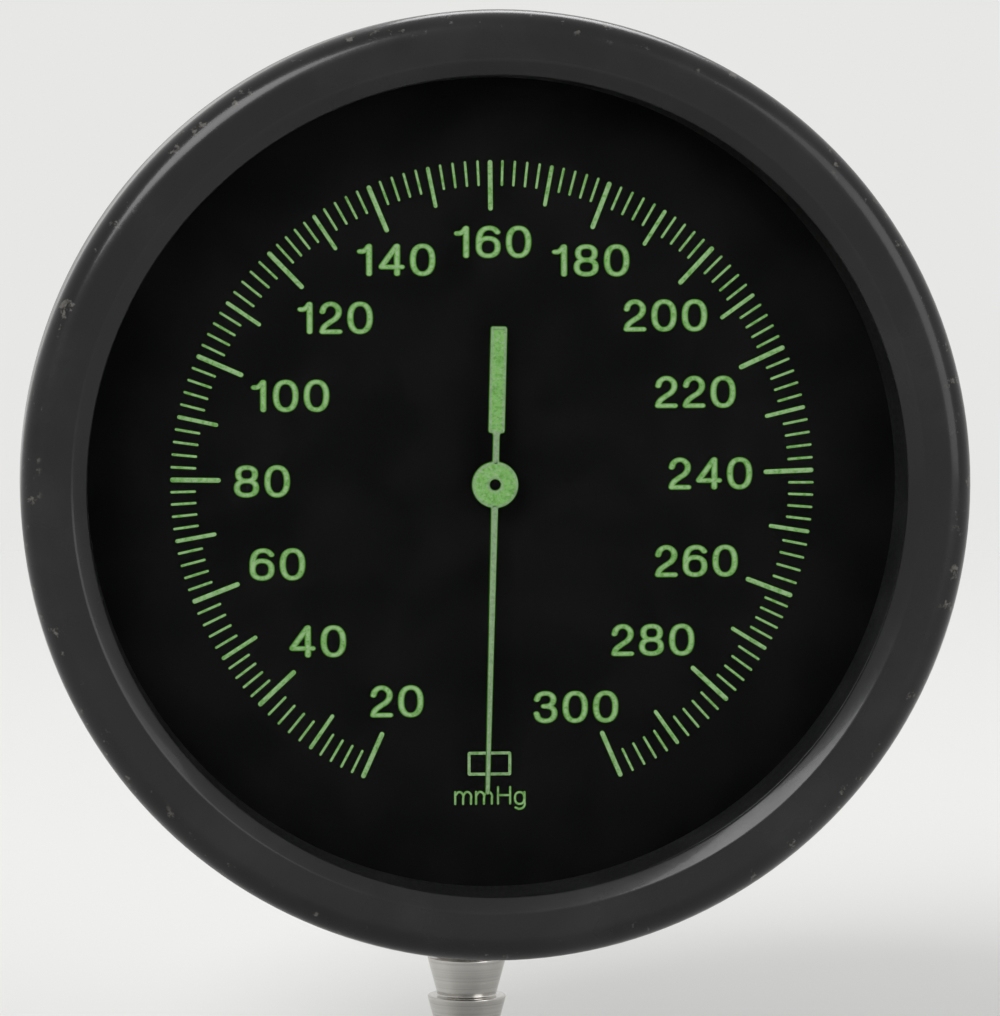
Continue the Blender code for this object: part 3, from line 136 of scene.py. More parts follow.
# Printed scale: angles of the readings from 20 to 300, in degrees clockwise from straight down
MEASURED_ANGLES = (
    23.8, 34.5, 46.4, 56.9, 68.3, 79.5, 90.5, 101.8, 113.2, 124.1, 135.7, 146.1, 157.2, 168.3, 179.5,
    190.6, 201.3, 212.4, 223.1, 234.2, 245.0, 256.3, 267.7, 278.8, 290.7, 301.3, 312.8, 324.6, 336.4,
)
READING_ANGLES = dict(zip(range(20, 301, 10), MEASURED_ANGLES))
NUMERAL_PIXELS = {
    20: (396.9, 701.4), 40: (317.9, 641.4), 60: (277.4, 564.4), 80: (261.9, 481.4),
    100: (290.4, 395.9), 120: (335.4, 317.9), 140: (396.4, 259.9), 160: (492.9, 241.9),
    180: (590.9, 260.4), 200: (665.4, 315.4), 220: (695.4, 391.9), 240: (710.4, 473.4),
    260: (696.4, 560.9), 280: (652.9, 639.9), 300: (575.9, 706.9),
}
SCALE_RADIUS = 0.01883

# Length and width of the mark at each so many readings, the longest first
MARKS = {20: (0.00296, 0.00030), 10: (0.00245, 0.00025), 2: (0.00152, 0.00017)}

# Print: how high it stands, at which shares of that it is thin and thick, and its sloping edge
# Below the thick share, the print's colour is darkened as painted shade
PAINT_RISE = 0.00004
PRINT_THIN = 0.40
PRINT_THICK = 0.95
MARK_SLOPE = 0.00005
ZERO_BOX_PIXELS = (467.6, 511.2, 751.8, 775.2)
ZERO_BOX_LINE = 0.00017
ZERO_BOX_CORNER = 0.00012

# Pen for the print: how finely its line, its curves and its ball ends are divided
PEN_ROUNDING = 2
PEN_CURVE_STEPS = 8
PEN_BALL = {"u_segments": 12, "v_segments": 8}

# Numerals, drawn with a pen wider than high. Strokes are in pixels from a digit's lower left corner
PEN_HALF_WIDTH = 3.35
PEN_HALF_HEIGHT = 2.6
DIGIT_HEIGHT = 32.5
DIGIT_GAP = 4.8
DIGIT_WIDTHS = {"0": 25.8, "1": 16.4, "2": 23.0, "3": 24.4, "4": 26.1, "6": 25.2, "8": 25.5}
OPEN_STROKES = {
    "1": (
        ((11.8, 2.4), (11.8, 16.0), (11.8, 30.0)),
        ((2.6, 24.7), (5.6, 24.8), (8.6, 26.4), (11.4, 29.8)),
    ),
    "2": (
        (
            (3.3, 22.4), (5.6, 27.4), (11.2, 30.0), (17.0, 27.9), (19.5, 22.0), (16.9, 16.2),
            (10.4, 11.6), (5.0, 7.2), (3.1, 2.6),
        ),
        ((3.2, 2.5), (12.0, 2.5), (20.2, 2.5)),
    ),
    "3": (
        (
            (3.6, 23.9), (6.2, 28.3), (11.8, 30.0), (17.8, 28.4), (20.1, 23.6), (17.9, 18.9),
            (13.8, 17.2), (10.6, 17.1),
        ),
        ((13.8, 17.1), (19.0, 15.1), (21.2, 9.5), (18.4, 4.2), (12.0, 2.4), (5.9, 4.4), (3.1, 9.8)),
    ),
    "4": (
        ((18.4, 2.4), (18.4, 16.0), (18.4, 30.1)),
        ((17.8, 29.9), (10.4, 19.8), (3.0, 9.7)),
        ((3.0, 9.2), (12.0, 9.2), (23.2, 9.2)),
    ),
    "6": (((21.9, 25.8), (18.3, 29.0), (13.4, 30.0), (7.4, 28.0), (3.9, 21.6), (3.2, 11.6)),),
}

# Ovals: centre and half sizes
OVALS = {
    "0": ((12.9, 16.2, 9.7, 13.8),),
    "6": ((12.6, 11.1, 9.4, 8.7),),
    "8": ((12.9, 23.3, 8.3, 6.7), (12.75, 9.6, 9.5, 7.1)),
}
OVAL_SQUARENESS = 2.35

# Unit line under the zero box, in pixels of the photograph
UNIT_PEN = 1.35
UNIT_PIXEL = (490.0, 805.0)
SMALL_M_PIXELS = (455.1, 476.0)
SMALL_M_PITCH = 7.9
SMALL_M_HEIGHT = 14.6
SMALL_M_ARCH = ((0, 0.72), (0.48, 1), (1 - 0.2 / SMALL_M_PITCH, 0.80), (1, 0.4))
CAPITAL_PIXELS = (498.0, 510.2)
CAPITAL_HEIGHT = 17.8
CAPITAL_BAR = 9.8
BOWL_PIXELS = (519.7, 6.7, 4.7, 5.9)
BOWL_TAIL = ((524.6, 12.6), (524.6, 4.0), (524.2, -1.6), (520.0, -4.2), (515.6, -2.8))

# Case, bezel and crystal
BODY_WALL = 0.0014
BACK_WALL = 0.0012
BACK_CORNER = 0.0026
HEAD_STEP = 0.0012
HEAD_WALL = 0.0016
HEAD_LEDGE = 0.0010
HEAD_FLARE = 0.0014
BOSS_RADIUS = 0.0038
BEZEL_WALL = 0.0010
BEZEL_OVERLAP = 0.0022
BEZEL_LIP = 0.0008
BEZEL_EDGE = 0.0015
BEZEL_BEVEL = 0.0009
BEZEL_GROOVE = 0.00016
BEZEL_GROOVE_RISE = 0.0009
CRYSTAL_CHAMFER = 0.0003
GASKET_WIDTH = 0.0010
SPACER_FOOT_WALL = 0.0007
SPACER_TOP_WALL = 0.0003
DIAL_HOLE = 0.0008

# Where the enamel is rubbed: in from the case's side and up from its back, and in from the bezel's edge
CASE_RUB = (0.0006, 0.0007)
BEZEL_RUB = 0.00045

# Pointer
ZERO_ANGLE = math.radians(268.59)
POINTER_REACH = 0.0181
POINTER_TIP_WIDTH = 0.00027
POINTER_ROOT_WIDTH = 0.00042
POINTER_DISC = 0.00136
POINTER_HOLE = 0.00031
TAIL_STEM_WIDTH = 0.00040
TAIL_BAR_WIDTH = 0.00098
TAIL_BAR_INNER = 0.00300
TAIL_BAR_OUTER = 0.00922
POINTER_EDGE = 0.00006
POINTER_RIM = 0.00015
POINTER_CROWN = 0.00003
POINTER_CORNER = 0.00016
ARM_RIM = 0.5

# Arbor and its pinion
PIVOT_RADIUS = 0.00035
PIVOT_SHOULDER = 0.0002
ARBOR_RADIUS = 0.00055
ARBOR_TOP_RADIUS = 0.00030
ARBOR_SINK = 0.00014
ARBOR_CAP = 0.00003
TOOTH_MODULE = 0.00020
PINION_TEETH = 12
PINION_FIRST = math.radians(-66.83)
PINION_FACE = 0.0011
PRESSURE_ANGLE = math.radians(20)
ADDENDUM_SHARE = 0.85
DEDENDUM_SHARE = 1.15
TOOTH_PLAY = 0.00005
FLANK_STEPS = 5

# Hose barb, nut and washer
BARB_BORE = 0.0011
BARB_SPIGOT = 0.0024
BARB_NECK = 0.0019
BARB_CREST = 0.00245
BARB_ROOT = 0.0018
BARB_TIP = 0.00165
BARB_PITCH = 0.0024
BARB_COUNT = 3
BARB_NECK_LENGTH = 0.0010
NUT_SIDES = 6
NUT_CONE_SHARE = 0.97
NUT_SLOPE = math.tan(math.radians(30))

# Cuff hook
HOOK_SHEET = 0.0010
HOOK_CORNER = 0.0040
HOOK_ACCESS = 0.0021
SUNK_HEAD = 0.0016
SUNK_HEAD_DEPTH = 0.0007
SUNK_SHANK = 0.0009
SLOT_WIDTH_SHARE = 0.20
SLOT_DEPTH = 0.00035
SCREW_SHANK = 0.0007
CASE_SCREW_HEAD = 0.0008
SCREW_CROWN_SHARE = 0.15
SCREW_FACE_SHARE = 0.86

# Capsule, its stud and its button
CAPSULE_SHEET = 0.00025
CAPSULE_DISH = 0.0015
CAPSULE_WAVE = 0.0003
WAVE_SHARES = (0.15, 0.80)
WAVE_FOLDS = 6
FIRST_FOLD = 0.5
WAVE_STEPS = 66
SKIRT_SHARE = 0.90
STUD_SHANK = 0.0018
STUD_COLLAR = 0.0024
STUD_SPIGOT = 0.0014
STUD_STEPS = (0.0022, 0.0028)
BUTTON_FLANGE = 0.0003
BUTTON_PIN = 0.00075

# Inlet block
BLOCK_CORNER = 0.0008
SPIGOT_SEAT = 0.0038
STUD_SEAT = 0.0023
SCREW_SEAT = 0.0013

# Movement plates, posts and pillars
PLATE_EDGE = 0.00006
SCREW_HEAD = 0.0007
TAPPED_DEPTH = 0.0022
WAIST_DEPTH = 0.00015
WAIST_FROM_END = 0.0011
PILLAR_SPIGOT = 0.0007
BUSH_RADIUS = 0.0014
OIL_CUP = 0.0003
EAR_SHEET = 0.0014
EAR_HALF_WIDTH = 0.0020
EAR_CORNER = 0.0009
EAR_HOLE = 0.00075
FINGER_SLOT = (0.0016, 0.0030)
SPRING_STUD = 0.0006
WINDOW_CORNER = 0.00055
WINDOW_RADII = (0.0050, 0.0090)
WINDOW_ANGLES = (math.radians(95), math.radians(165))

# Sector, rocking shaft and hairspring
RUNNING_GAP = 0.00005
SECTOR_WHEEL_TEETH = 120
SECTOR_TEETH = 15
SECTOR_HALF_TURN = math.radians(16.743)
SECTOR_HUB = 0.0020
SECTOR_RIM = 0.0012
SECTOR_SPOKE = 0.0009
SECTOR_ARBOR = 0.0006
TAIL_HALF_WIDTH = 0.0007
TAIL_PIN = 0.0004
ROCKER_HALF_TURN = math.radians(12.2)
ROCKER_RADIUS = 0.0006
ROCKER_POINT = 0.0006
ROCKER_HEIGHT = 0.014537
ROCKER_OFFSET = 0.0035
PIVOT_SCREW = 0.0007
PIVOT_CUP = 0.0004
PIVOT_SLOT_TURNS = (0.4, 1.3)
FINGER_HUB = 0.0010
FINGER_ARM = 0.0005
FINGER_WIDTH = 0.0008
FINGER_CORNER = 0.0001
INPUT_FOOT = 0.0007
INPUT_FOOT_ENDS = (-0.0038, -0.0032)
OUTPUT_HALF_ARM = 0.0003
OUTPUT_REACH = 0.0047
SPRING_TURNS = 5
SPRING_PITCH = 0.00085
SPRING_STRIP = 0.00016
SPRING_INNER = 0.00125
SPRING_START = math.radians(200)
SPRING_STEPS = 72
COLLET_SLIT = 0.00025

# Edges: how far they are rounded over, at most which share of a side, and how full the curve is
FINE_EASE = 0.00005
EDGE_EASE = 0.00012
SOFT_EASE = 0.00025
SIDE_SHARE = 0.45
CORNER_PULL = 0.55
BEVEL_STEPS = 2

# Radii and heights that the pieces share, read from the CAD frame
SEAT_GAP = 0.0001
HEAD_RADIUS = half_width("case_body")
BODY_RADIUS = HEAD_RADIUS - HEAD_STEP
BODY_INNER_RADIUS = BODY_RADIUS - BODY_WALL
HEAD_INNER_RADIUS = HEAD_RADIUS - HEAD_WALL
BEZEL_RADIUS = half_width("bezel")
BEZEL_BASE, BEZEL_TOP = heights("bezel")
CASE_RIM = heights("case_body")[1]
DIAL_BASE = heights("dial_plate")[0]
LEDGE_HEIGHT = DIAL_BASE - SEAT_GAP
DIAL_SURFACE = heights("dial_spacer")[0] - SEAT_GAP
INLET_HEIGHT = sum(heights("hose_barb")) / 2
BOSS_FACE = below_axis("case_body")[1]
NUT_FACE, NUT_END = below_axis("barb_nut")
BARB_START, BARB_END = below_axis("hose_barb")
CAPSULE_MIDDLE = (heights("capsule_lower_diaphragm")[0] + heights("capsule_upper_diaphragm")[1]) / 2
PLATE_TOP = heights("lower_plate")[1]
LOWER_SHOULDER = PLATE_TOP + PIVOT_SHOULDER
UPPER_SHOULDER = heights("upper_plate")[0] - PIVOT_SHOULDER

# Blacks of the enamel and of the dial's lacquer, and how much a colour keeps where it is shaded
ENAMEL_BLACK = (0.006, 0.006, 0.0065)
DUSTY_BLACK = (0.011, 0.011, 0.0115)
RUBBED_ENAMEL = (0.085, 0.080, 0.072)
LACQUER_BLACK = (0.0020, 0.0020, 0.0021)
FADED_LACQUER = (0.0040, 0.0041, 0.0039)
SHADE = 0.72

# Luminous paint, with its faint glow, which is painted light
PAINTED_GLOW = 0.22
# The first two greens are painted shade, darkest at the foot of the paint's sloping edges
SHADED_FOOT_GREEN = (0.026, 0.104, 0.004)
HALF_SHADED_GREEN = (0.076, 0.202, 0.032)
DEEP_GREEN = (0.066, 0.184, 0.032)
PAINT_GREEN = (0.126, 0.270, 0.075)
PALE_GREEN = (0.184, 0.297, 0.136)
WORN_GREY = (0.153, 0.224, 0.127)
FLECK_GREY = (0.222, 0.276, 0.196)

# Bare metals, each with the tint it drifts to, and the axis that the barb is turned about
NICKEL = ((0.600, 0.585, 0.560), (0.520, 0.500, 0.465))
STEEL = ((0.420, 0.425, 0.430), (0.330, 0.325, 0.320))
BRASS = ((0.620, 0.430, 0.170), (0.520, 0.330, 0.120))
BRONZE = ((0.560, 0.300, 0.150), (0.450, 0.215, 0.115))
BARB_AXIS = ((0, 0, INLET_HEIGHT), (UPRIGHT, 0, 0))

# Crystal: what its coated glass lets through
CLEAR = (0.985, 0.992, 0.990, 1)

# Floor under the barb's tip, fading into a pale world
PALE = (0.80, 0.80, 0.79)
AMBIENT = 0.53
FLOOR_RADIUS = 0.60
FLOOR_FADE = (0.16, 0.56)

# Lamps: azimuth and elevation in degrees, distance, width and height, and share of a plain light level
LAMPS = {
    "key": ((-32, 36), 0.9, (0.45, 0.45), 0.70),
    "fill": ((42, 14), 1.0, (0.60, 0.60), 0.32),
    "rim": ((165, 50), 0.9, (0.50, 0.30), 0.36),
}


def polar(radius, angle, centre=(0, 0)):
    return centre[0] + radius * math.cos(angle), centre[1] + radius * math.sin(angle)


def arc(centre, radius, start, end, steps=ARC_STEPS):
    """Points from start to end, both included."""
    turns = [start + (end - start) * i / steps for i in range(steps + 1)]
    return [polar(radius, turn, centre) for turn in turns]


def circle(centre, radius, sides=SMALL_SIDES):
    return [polar(radius, FULL_TURN * i / sides, centre) for i in range(sides)]


def stepped(inner, radii, levels):
    """Outline from the inner radius out and back to it, with each radius from one level to the next."""
    line = [(inner, levels[0])]
    for radius, low, high in zip(radii, levels, levels[1:]):
        line += [(radius, low), (radius, high)]
    return [*line, (inner, levels[-1])]


def ring_outline(inner, outer, low, high):
    """The four corners between two radii, or two sides, and two heights."""
    return stepped(inner, [outer], (low, high))


def softened(outline, radius=EDGE_EASE, steps=4):
    """The closed outline with its sharp corners rounded off. Corners on the axis stay."""
    drawn = []
    for before, corner, after in zip(outline[-1:] + outline[:-1], outline, outline[1:] + outline[:1]):
        tip = Vector((*corner, 0))
        back, ahead = (Vector((*other, 0)) - tip for other in (before, after))
        if corner[0] == 0 or back.angle(-ahead) < SHARP_ANGLE:
            drawn.append(corner)
            continue
        ends = [tip + way.normalized() * min(radius, way.length * SIDE_SHARE) for way in (back, ahead)]
        pulled = [end.lerp(tip, CORNER_PULL) for end in ends]
        drawn += [(p.x, p.y) for p in interpolate_bezier(ends[0], *pulled, ends[1], steps + 1)]
    return drawn


def turned(profile, sides=ROUND_SIDES):
    """A closed outline of (radius, height) points, spun about Z."""
    shape = bmesh.new()
    corners = [shape.verts.new((radius, 0, height)) for radius, height in profile]
    pairs = zip(corners, corners[1:] + corners[:1])
    edges = [shape.edges.new(pair) for pair in pairs if pair[0].co.x or pair[1].co.x]
    bmesh.ops.spin(
        shape, geom=corners + edges, axis=(0, 0, 1), angle=FULL_TURN, steps=sides, use_merge=True
    )
    bmesh.ops.remove_doubles(shape, verts=shape.verts, dist=WELD)
    bmesh.ops.recalc_face_normals(shape, faces=shape.faces)
    return shape


def rod(radius, length):
    return turned(ring_outline(0, radius, 0, length), SMALL_SIDES)


def slab(outlines, thickness):
    """Outlines in XY, the first the outside and the rest holes, raised to a thickness."""
    shape = bmesh.new()
    edges = []
    for outline in outlines:
        corners = [shape.verts.new((x, y, 0)) for x, y in outline]
        edges += [shape.edges.new(pair) for pair in zip(corners, corners[1:] + corners[:1])]
    bmesh.ops.triangle_fill(shape, edges=edges, use_beauty=True)
    raised = bmesh.ops.extrude_face_region(shape, geom=shape.faces[:])
    lifted = [part for part in raised["geom"] if isinstance(part, bmesh.types.BMVert)]
    bmesh.ops.translate(shape, verts=lifted, vec=(0, 0, thickness))
    bmesh.ops.recalc_face_normals(shape, faces=shape.faces)
    return shape


def crowned(sheet, edge, rise):
    """Raises the sheet's front inside a sloping edge."""
    front = [face for face in sheet.faces if face.normal.z > FLAT]
    bmesh.ops.inset_region(sheet, faces=front, thickness=edge, depth=rise, use_even_offset=True)


def box(width, depth, height):
    """A box centred on the origin in X and Y, standing on height zero."""
    shape = bmesh.new()
    bmesh.ops.create_cube(shape, size=1)
    bmesh.ops.scale(shape, verts=shape.verts, vec=(width, depth, height))
    bmesh.ops.translate(shape, verts=shape.verts, vec=(0, 0, height / 2))
    return shape


def placed(shape, *steps):
    """The shape with each placing matrix applied in turn."""
    for step in steps:
        bmesh.ops.transform(shape, matrix=step, verts=shape.verts)
    return shape


def at(x, y, z=0.0):
    return Matrix.Translation((x, y, z))


def about(axis, angle):
    return Matrix.Rotation(angle, 4, axis)


FACING_BACK = about("X", 2 * UPRIGHT)
ACROSS = about("Z", UPRIGHT) @ about("X", UPRIGHT)
DOWN_FROM_INLET = (about("X", UPRIGHT), at(0, 0, INLET_HEIGHT))
TO_SIZE = Matrix.Diagonal((PIXEL, PIXEL, PIXEL, 1))


def mesh_from(shape, name="helper"):
    """The bmesh as mesh data. The bmesh is freed."""
    mesh = bpy.data.meshes.new(name)
    shape.to_mesh(mesh)
    shape.free()
    return mesh


def in_scene(name, data):
    made = bpy.data.objects.new(name, data)
    bpy.context.scene.collection.objects.link(made)
    return made


def as_evaluated(made):
    """A bmesh of the object with its modifiers, or of the curve with its pen."""
    bpy.context.view_layer.update()
    evaluated = made.evaluated_get(bpy.context.evaluated_depsgraph_get())
    mesh = bpy.data.meshes.new_from_object(evaluated)
    shape = bmesh.new()
    shape.from_mesh(mesh)
    bpy.data.meshes.remove(mesh)
    return shape


def add_to(whole, part):
    """Adds one bmesh to another and frees it."""
    mesh = mesh_from(part)
    whole.from_mesh(mesh)
    bpy.data.meshes.remove(mesh)


def carved(shape, cutters, operation="DIFFERENCE"):
    """The shape after a Boolean with each cutter."""
    base, *helpers = [in_scene("helper", mesh_from(part)) for part in (shape, *cutters)]
    for helper in helpers:
        modifier = base.modifiers.new("carve", "BOOLEAN")
        modifier.solver = "MANIFOLD"
        modifier.operation = operation
        modifier.object = helper
    result = as_evaluated(base)
    for used in (base, *helpers):
        mesh = used.data
        bpy.data.objects.remove(used)
        bpy.data.meshes.remove(mesh)
    bmesh.ops.remove_doubles(result, verts=result.verts, dist=WELD)
    return result


def drill(node, radius, start, length):
    """A cutter round a screw's CAD node, with play, from a height up."""
    return placed(rod(radius + SEAT_GAP, length), at(*middle(node), start))


def finished(name, shape, look, body, *nodes, ease=0.0):
    """Stands a bench shape upright as a piece, with its finish, body, slot and CAD nodes.

    A piece that bends between two bodies is given no body here.
    """
    finish = FINISHES[look]
    mesh = mesh_from(placed(shape, STAND), name)
    mesh.materials.append(finish)
    mesh.shade_smooth()
    mesh.set_sharp_from_angle(angle=SHARP_ANGLE)
    made = in_scene(name, mesh)
    if ease:
        rounding = made.modifiers.new("eased edges", "BEVEL")
        rounding.width = ease
        rounding.segments = BEVEL_STEPS
        rounding.limit_method = "ANGLE"
        rounding.angle_limit = SHARP_ANGLE
        rounding.harden_normals = True
    if body:
        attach(made, body)
    if nodes:
        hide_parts(*nodes)
    return made


def turned_piece(name, profile, look, body, node, *steps, sides=SMALL_SIDES, soft=FINE_EASE):
    """A piece turned on a lathe, in place of one CAD node."""
    shape = placed(turned(softened(profile, soft), sides), *steps)
    finished(name, shape, look, body, node)


class Nodes:
    """Short ways to add nodes to a tree and feed their sockets."""

    def __init__(self, tree):
        self.tree = tree

    def set(self, node, socket, value):
        """Feeds a socket from another node's output, or sets it to a plain value."""
        target = node.inputs[socket]
        if isinstance(value, bpy.types.NodeSocket):
            self.tree.links.new(value, target)
        else:
            target.default_value = value

    def node(self, kind, output, inputs, **settings):
        made = self.tree.nodes.new(kind)
        for name, value in settings.items():
            setattr(made, name, value)
        for socket, value in inputs.items():
            self.set(made, socket, value)
        return made.outputs[output]

    def maths(self, operation, first, second, **settings):
        inputs = {0: first, 1: second}
        return self.node("ShaderNodeMath", "Value", inputs, operation=operation, **settings)


class Finish(Nodes):
    """A material with one Principled shader, patterned in the bench's own coordinates."""

    def __init__(self, name, slot, colour, roughness, metallic=0.0, **fixed):
        self.material = bpy.data.materials.new(name)
        self.material.use_nodes = True
        self.material["slot"] = slot
        super().__init__(self.material.node_tree)
        self.shader = self.tree.nodes["Principled BSDF"]
        self.feed(Base_Color=(*colour, 1), Roughness=roughness, Metallic=metallic, **fixed)
        self.place = self.tree.nodes.new("ShaderNodeTexCoord").outputs["Object"]
        self.bench = self.mapped(self.place, (0, CASE_BACK, DIAL_AXIS), (UPRIGHT, 0, 0))

    def feed(self, **values):
        """Sets the shader's sockets, named with _ for a space."""
        for socket, value in values.items():
            self.set(self.shader, socket.replace("_", " "), value)

    def surface(self, share, first, second):
        """Shows a mix of two shaders."""
        mix = self.node("ShaderNodeMixShader", "Shader", {0: share, 1: first, 2: second})
        self.set(self.tree.nodes["Material Output"], "Surface", mix)

    def mapped(self, vector, location, rotation):
        """Coordinates in a frame that stands at a location and is turned by a rotation."""
        inputs = {"Vector": vector, "Location": location, "Rotation": rotation}
        return self.node("ShaderNodeMapping", "Vector", inputs, vector_type="TEXTURE")

    def stretched(self, scale, vector=None):
        inputs = {"Vector": vector or self.bench, "Scale": scale}
        return self.node("ShaderNodeMapping", "Vector", inputs)

    def noise(self, scale, detail, vector=None, rough=0.5):
        inputs = {"Vector": vector or self.bench, "Scale": scale, "Detail": detail, "Roughness": rough}
        return self.node("ShaderNodeTexNoise", "Fac", inputs)

    def ranged(self, value, low, high, to_low=0.0, to_high=1.0):
        inputs = {"Value": value, "From Min": low, "From Max": high, "To Min": to_low, "To Max": to_high}
        return self.node("ShaderNodeMapRange", "Result", inputs, interpolation_type="SMOOTHSTEP")

    def mixed(self, factor, first, second):
        """A colour between two, each an RGB triple or a socket."""
        ends = [end if isinstance(end, bpy.types.NodeSocket) else (*end, 1) for end in (first, second)]
        inputs = {0: factor, 6: ends[0], 7: ends[1]}
        return self.node("ShaderNodeMix", 2, inputs, data_type="RGBA")

    def bump(self, height, distance):
        inputs = {"Height": height, "Distance": distance, "Strength": 1.0}
        self.feed(Normal=self.node("ShaderNodeBump", "Normal", inputs))

    def parts(self, vector):
        """X, Y and Z of a vector."""
        split = self.tree.nodes.new("ShaderNodeSeparateXYZ")
        self.set(split, "Vector", vector)
        return split.outputs

    def joined(self, across, along):
        return self.node("ShaderNodeCombineXYZ", "Vector", {"X": across, "Y": along})

    def length(self, vector):
        return self.node("ShaderNodeVectorMath", "Value", {0: vector}, operation="LENGTH")

    def rings(self, scale, vector):
        """Turning marks: noise that changes with radius and height but not around the axis Z."""
        across, along, up = self.parts(vector)
        radius = self.length(self.joined(across, along))
        return self.noise(scale, 4.0, self.joined(radius, up), 0.6)

    def height(self):
        """Bench height of the point, in metres."""
        return self.parts(self.bench)["Z"]

    def radius(self):
        """Distance from the dial's axis, in metres."""
        return self.length(self.stretched((1, 1, 0)))


def shaded(colour):
    return tuple(part * SHADE for part in colour)


def enamel(name, edge_radius, edge_height):
    """Black stoved enamel with a faint orange peel, and rubbed a little along one round edge."""
    coat = {"Coat_Weight": 0.25, "Coat_Roughness": 0.08, "Coat_IOR": 1.35}
    made = Finish(name, "black_enamel", (0.008, 0.008, 0.009), 0.3, Specular_IOR_Level=0.22, **coat)
    ends = {0: made.joined(made.radius(), made.height()), 1: (edge_radius, edge_height, 0)}
    from_edge = made.node("ShaderNodeVectorMath", "Value", ends, operation="DISTANCE")
    near_edge = made.ranged(from_edge, 0.0010, 0.0003)
    flecks = made.ranged(made.noise(900, 4.0, rough=0.7), 0.60, 0.68)
    rubbed = made.maths("MULTIPLY", near_edge, flecks)
    haze = made.ranged(made.noise(160, 5.0), 0.45, 0.75)
    dusty = made.mixed(haze, ENAMEL_BLACK, DUSTY_BLACK)
    smears = made.ranged(made.noise(90, 6.0, made.stretched((1, 1, 3))), 0.35, 0.7, 0.22, 0.38)
    roughness = made.maths("ADD", smears, made.maths("MULTIPLY", rubbed, 0.15))
    made.feed(Base_Color=made.mixed(rubbed, dusty, RUBBED_ENAMEL), Roughness=roughness)
    made.bump(made.noise(1500, 2.0), 0.000006)
    return made.material


def dial_paint():
    """Matte black dial lacquer with a fine dry grain."""
    made = Finish("dial lacquer", "dial_black", (0.004, 0.004, 0.004), 0.6, Specular_IOR_Level=0.03)
    grain = made.noise(3000, 4.0)
    faded = made.ranged(made.noise(220, 4.0), 0.3, 0.7)
    tone = made.mixed(faded, LACQUER_BLACK, FADED_LACQUER)
    made.feed(Base_Color=tone, Roughness=made.ranged(grain, 0.3, 0.7, 0.52, 0.72))
    made.bump(grain, 0.0000015)
    return made.material


def luminous(name, edge_shade, body, darker):
    """Luminous paint, with a faint glow that is painted light. Its cover runs from 0 at its foot to 1 on
    top.

    It is dark and saturated down its sloping edges as painted shade, and mottled and flecked with grey
    above.
    """
    made = Finish(name, "luminous_paint", PAINT_GREEN, 0.55, Specular_IOR_Level=0.2)
    clear_of_shade, body, darker = edge_shade(made, body, darker)
    mottle = made.noise(4800, 2.0, rough=0.6)
    mottled = made.ranged(mottle, 0.46, 0.66, 0.0, 0.70)
    blotches = made.ranged(made.noise(1700, 2.0), 0.50, 0.68, 0.0, 0.50)
    flecks = made.ranged(made.noise(5600, 1.0), 0.54, 0.72, 0.0, 0.50)
    worn = made.maths("MINIMUM", made.maths("ADD", mottled, blotches), 0.95)
    full = made.mixed(flecks, made.mixed(worn, body, darker), FLECK_GREY)
    # Painted shade: dark, saturated green down the paint's sloping edges, full tone above them
    edge_shade_tone = made.mixed(made.ranged(clear_of_shade, 0.0, 0.5), SHADED_FOOT_GREEN, HALF_SHADED_GREEN)
    tone = made.mixed(made.ranged(clear_of_shade, 0.5, 1.0), edge_shade_tone, full)
    # Painted light: the paint glows faintly in its own colour
    made.feed(Base_Color=tone, Emission_Color=tone, Emission_Strength=PAINTED_GLOW)
    made.feed(Roughness=made.ranged(mottle, 0.3, 0.7, 0.48, 0.66))
    made.bump(mottle, 0.000010)
    return made.material


def print_cover(made, body, darker):
    """The print's cover rises to 1 where it stands high; below that its colour is darkened as painted
    shade.
    """
    ends = (DIAL_SURFACE + share * PAINT_RISE for share in (PRINT_THIN, PRINT_THICK))
    return made.ranged(made.height(), *ends), body, darker


def pointer_cover(made, body, darker):
    """Painted shade darkens the pointer's rim, and its paint is rubbed grey inside it and all along the
    arm.
    """
    rim = made.node("ShaderNodeAttribute", "Fac", {}, attribute_name="rim")
    inside = made.ranged(rim, 0.70, 0.96)
    body = made.mixed(inside, WORN_GREY, body)
    darker = made.mixed(inside, shaded(WORN_GREY), darker)
    # Painted shade on the pointer's outer rim, where the rim value is low
    return made.ranged(rim, 0.16, 0.50), body, darker


def crystal_glass():
    """Clear coated crystal: no mirror seen from in front, and a faint smeared gloss seen aslant."""
    made = Finish("clear crystal", "clear_crystal", (0.95, 0.97, 0.97), 0.03)
    made.tree.nodes.remove(made.shader)
    clear = made.node("ShaderNodeBsdfTransparent", "BSDF", {"Color": CLEAR})
    smears = made.ranged(made.noise(70, 6.0, made.stretched((1, 2.6, 1)), 0.62), 0.45, 0.75, 0.02, 0.10)
    gloss = made.node("ShaderNodeBsdfGlossy", "BSDF", {"Color": (1, 1, 1, 1), "Roughness": smears})
    base, top = heights("crystal")
    front = made.ranged(made.height(), base + CRYSTAL_CHAMFER, top - CRYSTAL_CHAMFER)
    aslant = made.node("ShaderNodeLayerWeight", "Facing", {"Blend": 0.5})
    share = made.maths("MULTIPLY", made.ranged(aslant, 0.45, 1.0, 0.0, 0.35), front)
    made.surface(share, clear, gloss)
    return made.material


